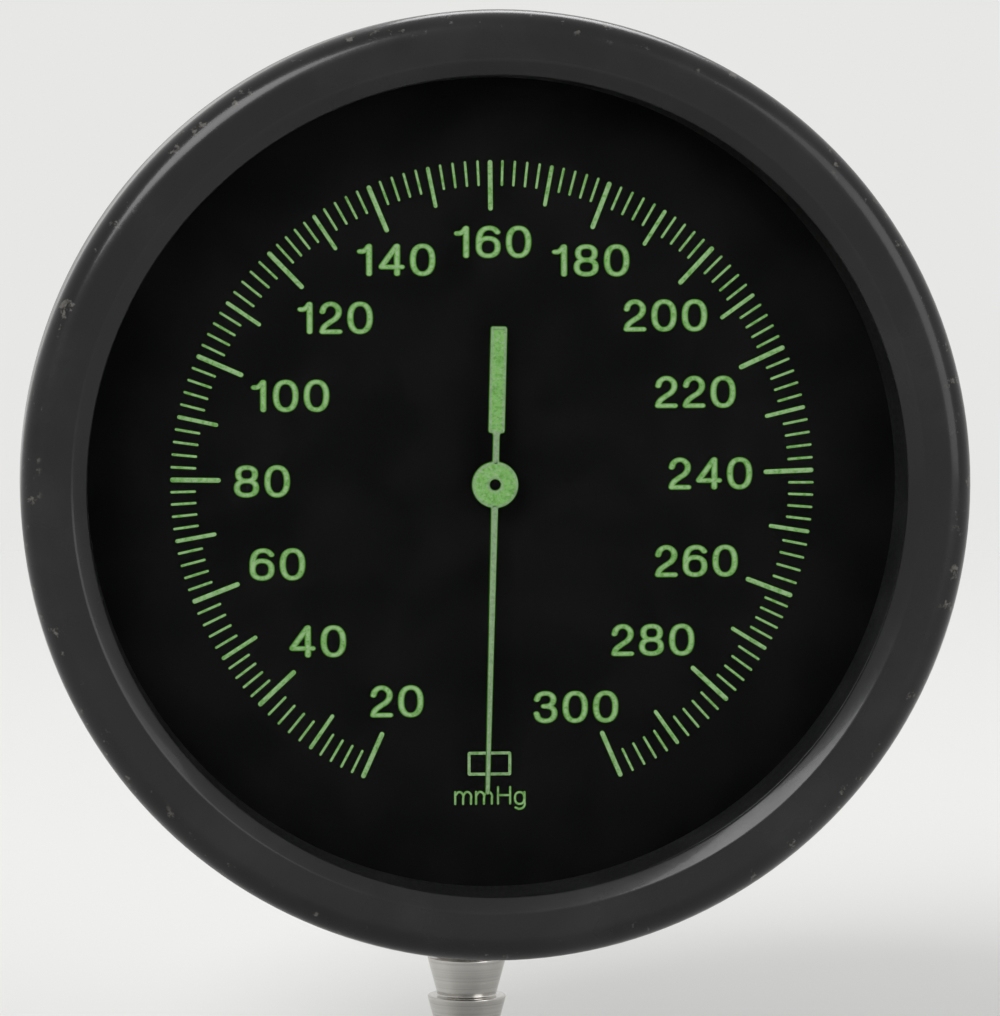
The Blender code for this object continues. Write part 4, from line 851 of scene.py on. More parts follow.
def metal(name, slot, colour, tint, roughness, grain, axis=None, depth=0.000004):
    """Bare metal: a colour with a drifting tint, and grain as turning rings or straight brushing."""
    made = Finish(name, slot, colour, roughness[0], 1.0)
    place = made.mapped(made.bench, *axis) if axis else made.bench
    if grain == "turned":
        marks = made.rings(7000, place)
    else:
        marks = made.noise(1.0, 4.0, made.stretched((7000, 260, 7000), place), 0.6)
    stain = made.noise(240, 5.0, place, 0.6)
    drift = made.mixed(made.ranged(stain, 0.35, 0.75), colour, tint)
    spread = made.ranged(marks, 0.3, 0.7, *roughness)
    made.feed(Base_Color=made.mixed(made.ranged(marks, 0.62, 0.30), drift, shaded(colour)))
    made.feed(Roughness=made.maths("ADD", spread, made.ranged(stain, 0.5, 0.8, 0.0, 0.08)))
    made.bump(marks, depth)
    return made.material


def dull(name, slot, dark, light, roughness, grain, depth, gloss=0.35):
    """Rubber or moulded plastic: two near greys, and a pebbled surface."""
    dark, light = (dark, dark, dark), (light, light, light)
    made = Finish(name, slot, dark, roughness[0], Specular_IOR_Level=gloss)
    pebble = made.noise(grain, 3.0)
    tone = made.mixed(made.ranged(made.noise(300, 5.0), 0.4, 0.75), dark, light)
    made.feed(Base_Color=tone, Roughness=made.ranged(pebble, 0.3, 0.7, *roughness))
    made.bump(pebble, depth)
    return made.material


def direction(azimuth, elevation):
    """Towards an azimuth, counted from the dial's front, and an elevation, both in degrees."""
    azimuth, elevation = math.radians(azimuth), math.radians(elevation)
    flat = math.cos(elevation)
    return Vector((math.sin(azimuth) * flat, -math.cos(azimuth) * flat, math.sin(elevation)))


def aimed(thing, towards, place):
    """Stands a camera or a lamp at a place, facing back against a direction."""
    thing.rotation_mode = "QUATERNION"
    thing.rotation_quaternion = (-towards).to_track_quat("-Z", "Y")
    thing.location = place


from_dial = direction(*CAMERA_ANGLES)
facing = (-from_dial).to_track_quat("-Z", "Y")
aside, upward = (facing @ Vector(way) for way in ((1, 0, 0), (0, 1, 0)))
dial_middle = STAND @ Vector((0, 0, DIAL_SURFACE))
picture_middle = (
    dial_middle
    + aside * (PICTURE_SIZE[0] / 2 - AXIS_PIXEL[0]) * SEEN_PIXEL
    - upward * (PICTURE_SIZE[1] / 2 - AXIS_PIXEL[1]) * SEEN_PIXEL
)
camera_data = bpy.data.cameras.new("camera")
camera_data.sensor_width = SENSOR
camera_data.lens = SENSOR * CAMERA_DISTANCE / (PICTURE_SIZE[1] * SEEN_PIXEL)
camera_data.clip_start = 0.01
camera_data.clip_end = 20
camera = in_scene("camera", camera_data)
aimed(camera, from_dial, picture_middle + from_dial * CAMERA_DISTANCE)
bpy.context.scene.camera = camera

FINISHES = {
    "black_enamel": enamel("case enamel", BODY_RADIUS - CASE_RUB[0], CASE_RUB[1]),
    "dial_black": dial_paint(),
    "luminous_paint": luminous("printed luminous paint", print_cover, PALE_GREEN, DEEP_GREEN),
    "clear_crystal": crystal_glass(),
    "plated_metal": metal(
        "nickel plate", "plated_metal", *NICKEL, (0.16, 0.26), "turned", BARB_AXIS, 0.000002
    ),
    "steel": metal("spring steel", "steel", *STEEL, (0.24, 0.42), "brushed"),
    "brass": metal("turned brass", "brass", *BRASS, (0.22, 0.36), "turned"),
    "bronze_sheet": metal("bronze sheet", "bronze_sheet", *BRONZE, (0.26, 0.40), "turned"),
    "rubber": dull("seal rubber", "rubber", 0.016, 0.030, (0.6, 0.8), 5000, 0.000006),
    "black_plastic": dull("moulded plastic", "black_plastic", 0.008, 0.014, (0.38, 0.5), 3500, 0.000003),
    "bezel_enamel": enamel("bezel enamel", BEZEL_RADIUS - BEZEL_RUB, BEZEL_TOP - BEZEL_RUB),
    "pointer_paint": luminous("pointer luminous paint", pointer_cover, PAINT_GREEN, DEEP_GREEN),
    # A near-black cap that is painted shade in the pointer hub's hole
    "shade_black_cap": dull("arbor end painted shade", "steel", 0.002, 0.004, (0.6, 0.8), 9000, 0.000001, 0.03),
}


def case_cup():
    """The enamelled cup, with the boss for the barb and the screw holes in its back."""
    head_base = LEDGE_HEIGHT - HEAD_LEDGE
    inner_corner = BACK_CORNER - BODY_WALL
    inner_middle = (BODY_INNER_RADIUS - inner_corner, BACK_WALL + inner_corner)
    profile = [
        (0, 0),
        *arc((BODY_RADIUS - BACK_CORNER, BACK_CORNER), BACK_CORNER, -UPRIGHT, 0),
        (BODY_RADIUS, head_base - HEAD_FLARE),
        (HEAD_RADIUS, head_base),
        (HEAD_RADIUS, CASE_RIM),
        (HEAD_INNER_RADIUS, CASE_RIM),
        (HEAD_INNER_RADIUS, LEDGE_HEIGHT),
        (BODY_INNER_RADIUS, LEDGE_HEIGHT),
        *arc(inner_middle, inner_corner, 0, -UPRIGHT),
        (0, BACK_WALL),
    ]
    root = BODY_INNER_RADIUS + BODY_WALL / 2
    boss = turned(softened(ring_outline(0, BOSS_RADIUS, root, BOSS_FACE), SOFT_EASE))
    cup = carved(turned(softened(profile), RING_SIDES), [placed(boss, *DOWN_FROM_INLET)], "UNION")
    cutters = [placed(rod(BARB_SPIGOT + SEAT_GAP, BOSS_FACE + OVERRUN), *DOWN_FROM_INLET)]
    through = (-OVERRUN, BACK_WALL + 2 * OVERRUN)
    cutters += [drill(f"case_screw_{n}", SCREW_SHANK, *through) for n in NUMBERS]
    cutters += [drill(f"hook_screw_{hand}", SUNK_SHANK, *through) for hand in HANDS]
    finished("case_cup", carved(cup, cutters), "black_enamel", "case", "case_body")


def bezel_ring():
    """The bezel, with a fine groove round its skirt and a bevel down to the crystal."""
    inner = BEZEL_RADIUS - BEZEL_WALL
    opening = half_width("crystal") - BEZEL_OVERLAP
    lip_base = BEZEL_TOP - BEZEL_LIP
    groove = BEZEL_BASE + BEZEL_GROOVE_RISE
    edge_middle = (BEZEL_RADIUS - BEZEL_EDGE, BEZEL_TOP - BEZEL_EDGE)
    profile = [
        (inner, BEZEL_BASE),
        (BEZEL_RADIUS, BEZEL_BASE),
        (BEZEL_RADIUS, groove - BEZEL_GROOVE),
        (BEZEL_RADIUS - BEZEL_GROOVE, groove),
        (BEZEL_RADIUS, groove + BEZEL_GROOVE),
        *arc(edge_middle, BEZEL_EDGE, 0, UPRIGHT),
        (opening + BEZEL_BEVEL, BEZEL_TOP),
        (opening, lip_base + BEZEL_LIP / 4),
        (opening, lip_base),
        (inner, lip_base),
    ]
    turned_piece("bezel_ring", profile, "bezel_enamel", "case", "bezel", sides=RING_SIDES, soft=EDGE_EASE)


def discs_and_rings():
    """What the bezel holds down: crystal, gasket, spacer ring and dial."""
    base, top = heights("crystal")
    radius = half_width("crystal")
    crystal = ring_outline(0, radius, base, top)
    crystal[2:3] = [(radius, top - CRYSTAL_CHAMFER), (radius - CRYSTAL_CHAMFER, top)]
    outer = half_width("crystal_gasket")
    gasket = ring_outline(outer - GASKET_WIDTH, outer, *heights("crystal_gasket"))
    outer = half_width("dial_spacer")
    spacer = ring_outline(outer - SPACER_FOOT_WALL, outer, *heights("dial_spacer"))
    spacer[3] = (outer - SPACER_TOP_WALL, heights("dial_spacer")[1])
    dial = ring_outline(DIAL_HOLE, half_width("dial_plate"), DIAL_BASE, DIAL_SURFACE)
    for name, profile, look, node, soft in (
        ("crystal_disc", crystal, "clear_crystal", "crystal", FINE_EASE),
        ("gasket_ring", gasket, "rubber", "crystal_gasket", EDGE_EASE),
        ("spacer_ring", spacer, "black_plastic", "dial_spacer", FINE_EASE),
        ("dial_disc", dial, "dial_black", "dial_plate", FINE_EASE),
    ):
        turned_piece(name, profile, look, "case", node, sides=RING_SIDES, soft=soft)


def painted(name, shape):
    """A piece of the dial's print, drawn about height zero and set in the dial's surface."""
    finished(name, placed(shape, at(0, 0, DIAL_SURFACE)), "luminous_paint", "case")


def on_dial(pixel_x, pixel_y):
    """Bench X and Y of the point of the dial that the camera sees at a pixel."""
    right = (pixel_x - PICTURE_SIZE[0] / 2) * SEEN_PIXEL
    down = (pixel_y - PICTURE_SIZE[1] / 2) * SEEN_PIXEL
    sight = aside * right - upward * down - from_dial * CAMERA_DISTANCE
    reach = (dial_middle.y - camera.location.y) / sight.y
    seen = STAND.inverted() @ (camera.location + sight * reach)
    return seen.x, seen.y


def scale_angle(reading):
    """Where a reading lies, from +X, between the measured angles of its neighbours."""
    below = max(step for step in READING_ANGLES if step <= reading)
    above = min(step for step in READING_ANGLES if step >= reading)
    share = (reading - below) / (above - below) if above > below else 0
    clockwise = READING_ANGLES[below] + (READING_ANGLES[above] - READING_ANGLES[below]) * share
    x, y = on_dial(*polar(SCALE_RADIUS / PIXEL, UPRIGHT + math.radians(clockwise), DIAL_PIXEL))
    return math.atan2(y, x)


def scale_marks():
    """A bar of paint for every second reading, longer at the tens and the numbered readings."""
    marks = bmesh.new()
    for reading in range(min(READING_ANGLES), max(READING_ANGLES) + min(MARKS), min(MARKS)):
        length, width = next(MARKS[step] for step in MARKS if reading % step == 0)
        outline = ring_outline(SCALE_RADIUS - length, SCALE_RADIUS, -width / 2, width / 2)
        bar = slab([softened(outline, width / 2, 3)], (1 + PRINT_THIN) * PAINT_RISE)
        crowned(bar, MARK_SLOPE, (1 - PRINT_THIN) * PAINT_RISE)
        add_to(marks, placed(bar, at(0, 0, -PAINT_RISE), about("Z", scale_angle(reading))))
    painted("scale_marks", marks)


def oval(middle_x, middle_y, half_wide, half_high):
    """A squarish oval, as the numerals' bowls are."""
    points = []
    for across, along in circle((0, 0), 1, OVAL_SIDES):
        reach = (abs(across) ** OVAL_SQUARENESS + abs(along) ** OVAL_SQUARENESS) ** (-1 / OVAL_SQUARENESS)
        points.append((middle_x + half_wide * reach * across, middle_y + half_high * reach * along))
    return points


def written(strokes, ovals, half_wide, half_high):
    """Strokes of a pen as tubes with ball ends, in pixels, with the paint's own rise."""
    stretch = half_wide / half_high
    curve = bpy.data.curves.new("pen", "CURVE")
    curve.dimensions = "3D"
    curve.bevel_depth = half_high
    curve.bevel_resolution = PEN_ROUNDING
    curve.resolution_u = PEN_CURVE_STEPS
    curve.use_fill_caps = True
    for stroke in strokes:
        line = curve.splines.new("BEZIER")
        line.bezier_points.add(len(stroke) - 1)
        for point, (x, y) in zip(line.bezier_points, stroke):
            point.co = (x / stretch, y, 0)
            point.handle_left_type = "AUTO"
            point.handle_right_type = "AUTO"
    for centre_and_size in ovals:
        drawn = oval(*centre_and_size)
        line = curve.splines.new("POLY")
        line.points.add(len(drawn) - 1)
        line.use_cyclic_u = True
        for point, (x, y) in zip(line.points, drawn):
            point.co = (x / stretch, y, 0, 1)
    pen = in_scene("pen", curve)
    shape = as_evaluated(pen)
    bpy.data.objects.remove(pen)
    bpy.data.curves.remove(curve)
    bmesh.ops.remove_doubles(shape, verts=shape.verts, dist=half_high / 1000)
    for x, y in (end for stroke in strokes for end in (stroke[0], stroke[-1])):
        place = at(x / stretch, y)
        bmesh.ops.create_uvsphere(shape, **PEN_BALL, radius=half_high, matrix=place)
    bmesh.ops.scale(shape, verts=shape.verts, vec=(stretch, 1, PAINT_RISE / half_high / PIXEL))
    bmesh.ops.recalc_face_normals(shape, faces=shape.faces)
    return shape


def scale_numerals():
    """The numbered readings, each written upright about its own middle."""
    numerals = bmesh.new()
    for reading, centre in NUMERAL_PIXELS.items():
        digits = str(reading)
        width = sum(DIGIT_WIDTHS[digit] for digit in digits) + DIGIT_GAP * (len(digits) - 1)
        left = -width / 2
        for digit in digits:
            drawn = (OPEN_STROKES.get(digit, ()), OVALS.get(digit, ()))
            shape = written(*drawn, PEN_HALF_WIDTH, PEN_HALF_HEIGHT)
            placed(shape, at(left, -DIGIT_HEIGHT / 2), TO_SIZE, at(*on_dial(*centre)))
            add_to(numerals, shape)
            left += DIGIT_WIDTHS[digit] + DIGIT_GAP
    painted("scale_numerals", numerals)


def small_m(left):
    """Strokes of the small letter m: three legs under two arches."""
    top = SMALL_M_HEIGHT - UNIT_PEN
    strokes = [((left, UNIT_PEN), (left, top / 2), (left, top))]
    for start in (left, left + SMALL_M_PITCH):
        arch = [(start + SMALL_M_PITCH * across, top * up) for across, up in SMALL_M_ARCH]
        strokes.append((*arch, (start + SMALL_M_PITCH, UNIT_PEN)))
    return strokes


def unit_letters():
    """The unit under the zero box."""
    first, last = CAPITAL_PIXELS
    strokes = [*small_m(SMALL_M_PIXELS[0]), *small_m(SMALL_M_PIXELS[1])]
    strokes += [((x, UNIT_PEN), (x, CAPITAL_HEIGHT / 2), (x, CAPITAL_HEIGHT)) for x in CAPITAL_PIXELS]
    strokes.append(((first, CAPITAL_BAR), ((first + last) / 2, CAPITAL_BAR), (last, CAPITAL_BAR)))
    strokes.append(BOWL_TAIL)
    shape = written(strokes, [BOWL_PIXELS], UNIT_PEN, UNIT_PEN)
    painted("unit_letters", placed(shape, at(-UNIT_PIXEL[0], 0), TO_SIZE, at(*on_dial(*UNIT_PIXEL))))


def zero_box():
    """The frame that the pointer's tip rests in at zero."""
    left, right, top, bottom = ZERO_BOX_PIXELS
    (low_x, high_y), (high_x, low_y) = on_dial(left, top), on_dial(right, bottom)
    outlines = []
    for inset in (0, ZERO_BOX_LINE):
        outline = ring_outline(low_x + inset, high_x - inset, low_y + inset, high_y - inset)
        outlines.append(softened(outline, ZERO_BOX_CORNER - inset / 2))
    painted("zero_box", placed(slab(outlines, 2 * PAINT_RISE), at(0, 0, -PAINT_RISE)))


def gauge_pointer():
    """The pointer, cut from sheet and painted: its rim slopes down, and painted shade darkens the paint
    there.
    """
    base, top = heights("pointer")
    tip_half, root_half = POINTER_TIP_WIDTH / 2, POINTER_ROOT_WIDTH / 2
    stem_half, bar_half = TAIL_STEM_WIDTH / 2, TAIL_BAR_WIDTH / 2
    root_angle = math.asin(root_half / POINTER_DISC)
    stem_angle = 2 * UPRIGHT - math.asin(stem_half / POINTER_DISC)
    upper = [
        (POINTER_REACH, tip_half),
        *arc((0, 0), POINTER_DISC, root_angle, stem_angle, 4 * ARC_STEPS),
        (-TAIL_BAR_INNER, stem_half),
        (-TAIL_BAR_INNER, bar_half),
        (-TAIL_BAR_OUTER, bar_half),
    ]
    outline = softened(upper + [(x, -y) for x, y in reversed(upper)], POINTER_CORNER, 3)
    sheet = slab([outline, circle((0, 0), POINTER_HOLE)], top - base)
    rim = sheet.verts.layers.float.new("rim")
    crowned(sheet, POINTER_EDGE, POINTER_CROWN)
    for cut in (POINTER_DISC, -POINTER_DISC, -TAIL_BAR_INNER):
        geom = [*sheet.verts, *sheet.edges, *sheet.faces]
        bmesh.ops.bisect_plane(sheet, geom=geom, plane_co=(cut, 0, 0), plane_no=(1, 0, 0))
    raised = top - base + POINTER_CROWN / 2
    for vert in sheet.verts:
        if vert.co.z > raised:
            vert[rim] = ARM_RIM
    wide = []
    for face in sheet.faces:
        centre = face.calc_center_median()
        on_disc_or_bar = abs(centre.x) < POINTER_DISC or centre.x < -TAIL_BAR_INNER
        if face.normal.z > FLAT and centre.z > raised and on_disc_or_bar:
            wide.append(face)
    bmesh.ops.inset_region(sheet, faces=wide, thickness=POINTER_RIM, use_even_offset=True)
    for vert in {vert for face in wide for vert in face.verts}:
        vert[rim] = 1
    placed(sheet, about("Z", ZERO_ANGLE), at(0, 0, base - POINTER_CROWN))
    finished("gauge_pointer", sheet, "pointer_paint", "pointer_train", "pointer")


def involute(angle):
    return math.tan(angle) - angle


def toothed(wheel_teeth, teeth, first):
    """Outline over some teeth of a wheel, with involute flanks. First is the first tooth's angle."""
    pitch_radius = TOOTH_MODULE * wheel_teeth / 2
    base_radius = pitch_radius * math.cos(PRESSURE_ANGLE)
    tip_radius = pitch_radius + ADDENDUM_SHARE * TOOTH_MODULE
    root_radius = pitch_radius - DEDENDUM_SHARE * TOOTH_MODULE
    half_at_pitch = math.pi / 2 / wheel_teeth - TOOTH_PLAY / 2 / pitch_radius
    start = max(base_radius, root_radius)
    radii = [start + (tip_radius - start) * i / FLANK_STEPS for i in range(FLANK_STEPS + 1)]
    if root_radius < base_radius:
        radii.insert(0, root_radius)
    widest = half_at_pitch + involute(PRESSURE_ANGLE)
    flank = [(r, widest - involute(math.acos(min(1, base_radius / r)))) for r in radii]
    outline = []
    for number in range(teeth):
        centre = first + number * FULL_TURN / wheel_teeth
        outline += [polar(radius, centre - half) for radius, half in flank]
        outline += [polar(radius, centre + half) for radius, half in reversed(flank)]
    return outline


def pointer_arbor():
    """The arbor with its pinion. Its end stands a little below the hub's face, capped with painted shade.
    """
    base, top = heights("pinion_arbor")
    end = top - ARBOR_SINK
    radii = (PIVOT_RADIUS, ARBOR_RADIUS, ARBOR_TOP_RADIUS)
    profile = stepped(0, radii, (base, LOWER_SHOULDER, UPPER_SHOULDER, end))
    leaves = slab([toothed(PINION_TEETH, PINION_TEETH, PINION_FIRST)], PINION_FACE)
    face_base = sum(heights("sector_gear")) / 2 - PINION_FACE / 2
    placed(leaves, about("Z", ZERO_ANGLE), at(0, 0, face_base))
    arbor = carved(turned(softened(profile, FINE_EASE)), [leaves], "UNION")
    finished("pointer_arbor", arbor, "steel", "pointer_train", "pinion_arbor")
    # Near-black cap on the sunk end: painted shade in the hub's hole
    cap = ring_outline(0, PIVOT_RADIUS - FINE_EASE, end, end + ARBOR_CAP)
    finished("arbor_end_shade", turned(softened(cap, ARBOR_CAP)), "shade_black_cap", "pointer_train")
    collar = ring_outline(PIVOT_RADIUS, half_width("pointer_bush"), *heights("pointer_bush"))
    turned_piece("pointer_collar", collar, "brass", "pointer_train", "pointer_bush", sides=ROUND_SIDES)


def hose_fitting():
    """Barb, jam nut and washer, pointing down out of the boss."""
    barb = [(BARB_BORE, BARB_START), (BARB_SPIGOT, BARB_START)]
    barb += [(BARB_SPIGOT, NUT_END), (BARB_NECK, NUT_END)]
    for number in range(BARB_COUNT):
        crest = NUT_END + BARB_NECK_LENGTH + number * BARB_PITCH
        barb += [(BARB_ROOT if number else BARB_NECK, crest), (BARB_CREST, crest)]
    barb += [(BARB_TIP, BARB_END), (BARB_BORE, BARB_END)]
    outside = {"sides": ROUND_SIDES, "soft": EDGE_EASE}
    turned_piece("barb_fitting", barb, "plated_metal", "case", "hose_barb", *DOWN_FROM_INLET, **outside)
    height = NUT_END - NUT_FACE
    corner = half_width("barb_nut")
    cone = corner * math.cos(math.pi / NUT_SIDES) * NUT_CONE_SHARE
    beyond = corner + OVERRUN
    cut = (beyond - cone) * NUT_SLOPE
    face = cone - OVERRUN / NUT_SLOPE
    chamfers = [
        (0, -OVERRUN),
        (face, -OVERRUN),
        (beyond, cut),
        (beyond, height - cut),
        (face, height + OVERRUN),
        (0, height + OVERRUN),
    ]
    nut = carved(slab([circle((0, 0), corner, NUT_SIDES)], height), [turned(chamfers)], "INTERSECT")
    bore = placed(rod(BARB_SPIGOT + SEAT_GAP, height + 2 * OVERRUN), at(0, 0, -OVERRUN))
    nut = placed(carved(nut, [bore]), at(0, 0, NUT_FACE), *DOWN_FROM_INLET)
    finished("jam_nut", nut, "plated_metal", "case", "barb_nut", ease=FINE_EASE)
    washer = ring_outline(BARB_SPIGOT + SEAT_GAP, half_width("barb_washer"), *below_axis("barb_washer"))
    turned_piece("sealing_washer", washer, "rubber", "case", "barb_washer", *DOWN_FROM_INLET, **outside)


def hook_strip():
    """The cuff hook, bent from one strip, with countersunk holes and holes to reach them through."""
    half = half_width("cuff_hook")
    back, front = heights("cuff_hook")
    bend_outer = (front - back) / 2
    bend_inner = bend_outer - HOOK_SHEET
    tip, crown = (point.z - DIAL_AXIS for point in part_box("cuff_hook"))
    bend = (crown - bend_outer, (back + front) / 2)
    side_outline = [
        (tip, front),
        *arc(bend, bend_outer, UPRIGHT, -UPRIGHT, 3 * ARC_STEPS),
        (tip, back),
        (tip, back + HOOK_SHEET),
        *arc(bend, bend_inner, -UPRIGHT, UPRIGHT, 3 * ARC_STEPS),
        (tip, front - HOOK_SHEET),
    ]
    strip = placed(slab([side_outline], 2 * half), at(0, 0, -half), ACROSS)
    top = bend[0] + 2 * bend_outer
    inset, rise = half - HOOK_CORNER, tip + HOOK_CORNER
    trim = [
        *arc((-inset, rise), HOOK_CORNER, -2 * UPRIGHT, -UPRIGHT)[1:-1],
        (0, tip - OVERRUN),
        *arc((inset, rise), HOOK_CORNER, -UPRIGHT, 0)[1:-1],
        (half + OVERRUN, rise + HOOK_CORNER),
        (half + OVERRUN, top),
        (-half - OVERRUN, top),
        (-half - OVERRUN, rise + HOOK_CORNER),
    ]
    trim = placed(slab([trim], front - back + 2 * OVERRUN), at(0, 0, back - OVERRUN))
    cutters = []
    for hand in HANDS:
        place = at(*middle(f"hook_screw_{hand}"), front - HOOK_SHEET)
        cutters.append(placed(turned(sunk_screw(SEAT_GAP, OVERRUN)), FACING_BACK, place))
        reach = rod(HOOK_ACCESS, bend_inner + HOOK_SHEET + OVERRUN)
        cutters.append(placed(reach, at(0, 0, bend_inner), FACING_BACK, place))
    strip = carved(carved(strip, [trim], "INTERSECT"), cutters)
    finished("hook_strip", strip, "steel", "case", "cuff_hook", ease=EDGE_EASE)


def sunk_screw(grow=0.0, above=0.0):
    """Half outline of a countersunk screw, head at height zero and shank below."""
    low, high = heights("hook_screw_left")
    top = [(0, above), (SUNK_HEAD + grow, above)] if above else [(0, 0)]
    return [
        *top,
        (SUNK_HEAD + grow, 0),
        (SUNK_SHANK + grow, -SUNK_HEAD_DEPTH - grow),
        (SUNK_SHANK + grow, low - high),
        (0, low - high),
    ]


def slotted(shape, radius, top, turn):
    """The screw with a driver's slot across its head."""
    slot = box(2 * radius + 2 * OVERRUN, 2 * radius * SLOT_WIDTH_SHARE, SLOT_DEPTH + OVERRUN)
    return carved(shape, [placed(slot, at(0, 0, top - SLOT_DEPTH), about("Z", turn))])


def cheese_screw(node, head_height, turn):
    """A screw like the node's, shank below height zero and its slotted head above."""
    low, high = heights(node)
    radius = half_width(node)
    shoulder = head_height - head_height * SCREW_CROWN_SHARE
    profile = stepped(0, (SCREW_SHANK, radius), (low - high + head_height, 0, shoulder))
    profile[-1:] = [(radius * SCREW_FACE_SHARE, head_height), (0, head_height)]
    return slotted(turned(profile, SMALL_SIDES), radius, head_height, turn)


def back_screws():
    """The screws seen on the case back, their slots at odd angles."""
    chance = random.Random(7)
    for hand in HANDS:
        node = f"hook_screw_{hand}"
        screw = slotted(turned(sunk_screw(), SMALL_SIDES), SUNK_HEAD, 0, chance.uniform(0, math.pi))
        placed(screw, FACING_BACK, at(*middle(node), heights(node)[0]))
        finished(f"hook_bolt_{hand}", screw, "plated_metal", "case", node, ease=FINE_EASE)
    for number in NUMBERS:
        node = f"case_screw_{number}"
        screw = cheese_screw(node, CASE_SCREW_HEAD, chance.uniform(0, math.pi))
        placed(screw, FACING_BACK, at(*middle(node), heights(node)[0] + CASE_SCREW_HEAD))
        finished(f"back_screw_{number}", screw, "plated_metal", "case", node, ease=FINE_EASE)


def inlet_manifold():
    """The brass block that joins the barb to the capsule, drilled both ways."""
    low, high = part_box("inlet_block")
    base, top = heights("inlet_block")
    half = half_width("inlet_block")
    front = low.z - DIAL_AXIS
    outline = softened(ring_outline(-half, half, front, high.z - DIAL_AXIS), BLOCK_CORNER)
    seat = rod(BARB_SPIGOT + SEAT_GAP, SPIGOT_SEAT - front + OVERRUN)
    air = rod(BARB_BORE, SPIGOT_SEAT + 2 * OVERRUN)
    cutters = [
        placed(rod(STUD_SHANK + SEAT_GAP, STUD_SEAT + OVERRUN), at(0, 0, top - STUD_SEAT)),
        placed(seat, at(0, 0, SPIGOT_SEAT), *DOWN_FROM_INLET),
        placed(air, at(0, 0, -OVERRUN), *DOWN_FROM_INLET),
    ]
    depth = (base - OVERRUN, SCREW_SEAT + OVERRUN)
    cutters += [drill(f"hook_screw_{hand}", SUNK_SHANK, *depth) for hand in HANDS]
    block = carved(placed(slab([outline], top - base), at(0, 0, base)), cutters)
    finished("inlet_manifold", block, "brass", "case", "inlet_block", ease=PLATE_EDGE)


def diaphragm(inner, side):
    """One corrugated sheet of the capsule, above (1) or below (-1) the capsule's middle."""
    radius = half_width("capsule_upper_diaphragm")
    span = radius * (WAVE_SHARES[1] - WAVE_SHARES[0]) / WAVE_FOLDS
    line = [(inner, CAPSULE_DISH)]
    for step in range(WAVE_STEPS + 1):
        fold = FIRST_FOLD + (WAVE_FOLDS - FIRST_FOLD) * step / WAVE_STEPS
        wave = -CAPSULE_WAVE * math.sin(math.pi * (fold - FIRST_FOLD))
        line.append((radius * WAVE_SHARES[0] + span * fold, CAPSULE_DISH + wave))
    line += [(radius * SKIRT_SHARE, 0), (radius, 0)]
    inside = [(x, side * (SEAT_GAP / 2 + y)) for x, y in line]
    outside = [(x, y + side * CAPSULE_SHEET) for x, y in reversed(inside)]
    return placed(turned(inside + outside), at(0, 0, CAPSULE_MIDDLE))


def capsule():
    """Stud, two corrugated sheets and the button. The upper sheet's skirt stretches as it lifts."""
    base, top = heights("capsule_stud")
    levels = (base, base + STUD_STEPS[0], base + STUD_STEPS[1], top)
    stud = stepped(BARB_BORE, (STUD_SHANK, STUD_COLLAR, STUD_SPIGOT), levels)
    turned_piece("capsule_inlet", stud, "brass", "case", "capsule_stud")
    lower = diaphragm(STUD_SPIGOT + SEAT_GAP, -1)
    finished("lower_sheet", lower, "bronze_sheet", "case", "capsule_lower_diaphragm")
    upper = finished("upper_sheet", diaphragm(0, 1), "bronze_sheet", None, "capsule_upper_diaphragm")
    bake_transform(upper)
    base, top = heights("capsule_button")
    radii = (half_width("capsule_button"), BUTTON_PIN)
    button = stepped(0, radii, (base, base + BUTTON_FLANGE, top))
    turned_piece("lifting_button", button, "brass", "capsule_top", "capsule_button")


def waisted(radius, low, high):
    """Outer line of a round post, turned down a little between its ends."""
    waist = radius - WAIST_DEPTH
    return [
        (radius, low),
        (radius, low + WAIST_FROM_END),
        (waist, low + WAIST_FROM_END + WAIST_DEPTH),
        (waist, high - WAIST_FROM_END - WAIST_DEPTH),
        (radius, high - WAIST_FROM_END),
        (radius, high),
    ]


def tapped(end, depth=TAPPED_DEPTH):
    """Half outline of a screw's hole in a post, from the post's end down to its bottom."""
    bore = SCREW_SHANK + SEAT_GAP
    return [(bore, end), (bore, end - depth), (0, end - depth)]


def posts_and_pillars():
    """The posts under the lower plate and the pillars over it, with the screws in their tops."""
    chance = random.Random(11)
    for number in NUMBERS:
        node = f"movement_post_{number}"
        low, high = heights(node)
        line = tapped(low, -TAPPED_DEPTH)[::-1] + waisted(half_width(node), low, high) + tapped(high)
        turned_piece(f"plate_post_{number}", line, "brass", "case", node, at(*middle(node)))
        node = f"pillar_{number}"
        low, high = heights(node)
        shoulder = PLATE_TOP + SEAT_GAP
        line = [(0, low), (PILLAR_SPIGOT, low), (PILLAR_SPIGOT, shoulder)]
        line += waisted(half_width(node), shoulder, high) + tapped(high)
        turned_piece(f"bridge_pillar_{number}", line, "brass", "case", node, at(*middle(node)))
        for kind in ("plate", "bridge"):
            node = f"{kind}_screw_{number}"
            screw = cheese_screw(node, SCREW_HEAD, chance.uniform(0, math.pi))
            placed(screw, at(*middle(node), heights(node)[1] - SCREW_HEAD))
            finished(f"{kind}_bolt_{number}", screw, "steel", "case", node, ease=FINE_EASE)


def holes_at(name, radius):
    """Outlines of holes at the three CAD nodes of a name."""
    return [circle(middle(f"{name}_{number}"), radius + SEAT_GAP) for number in NUMBERS]


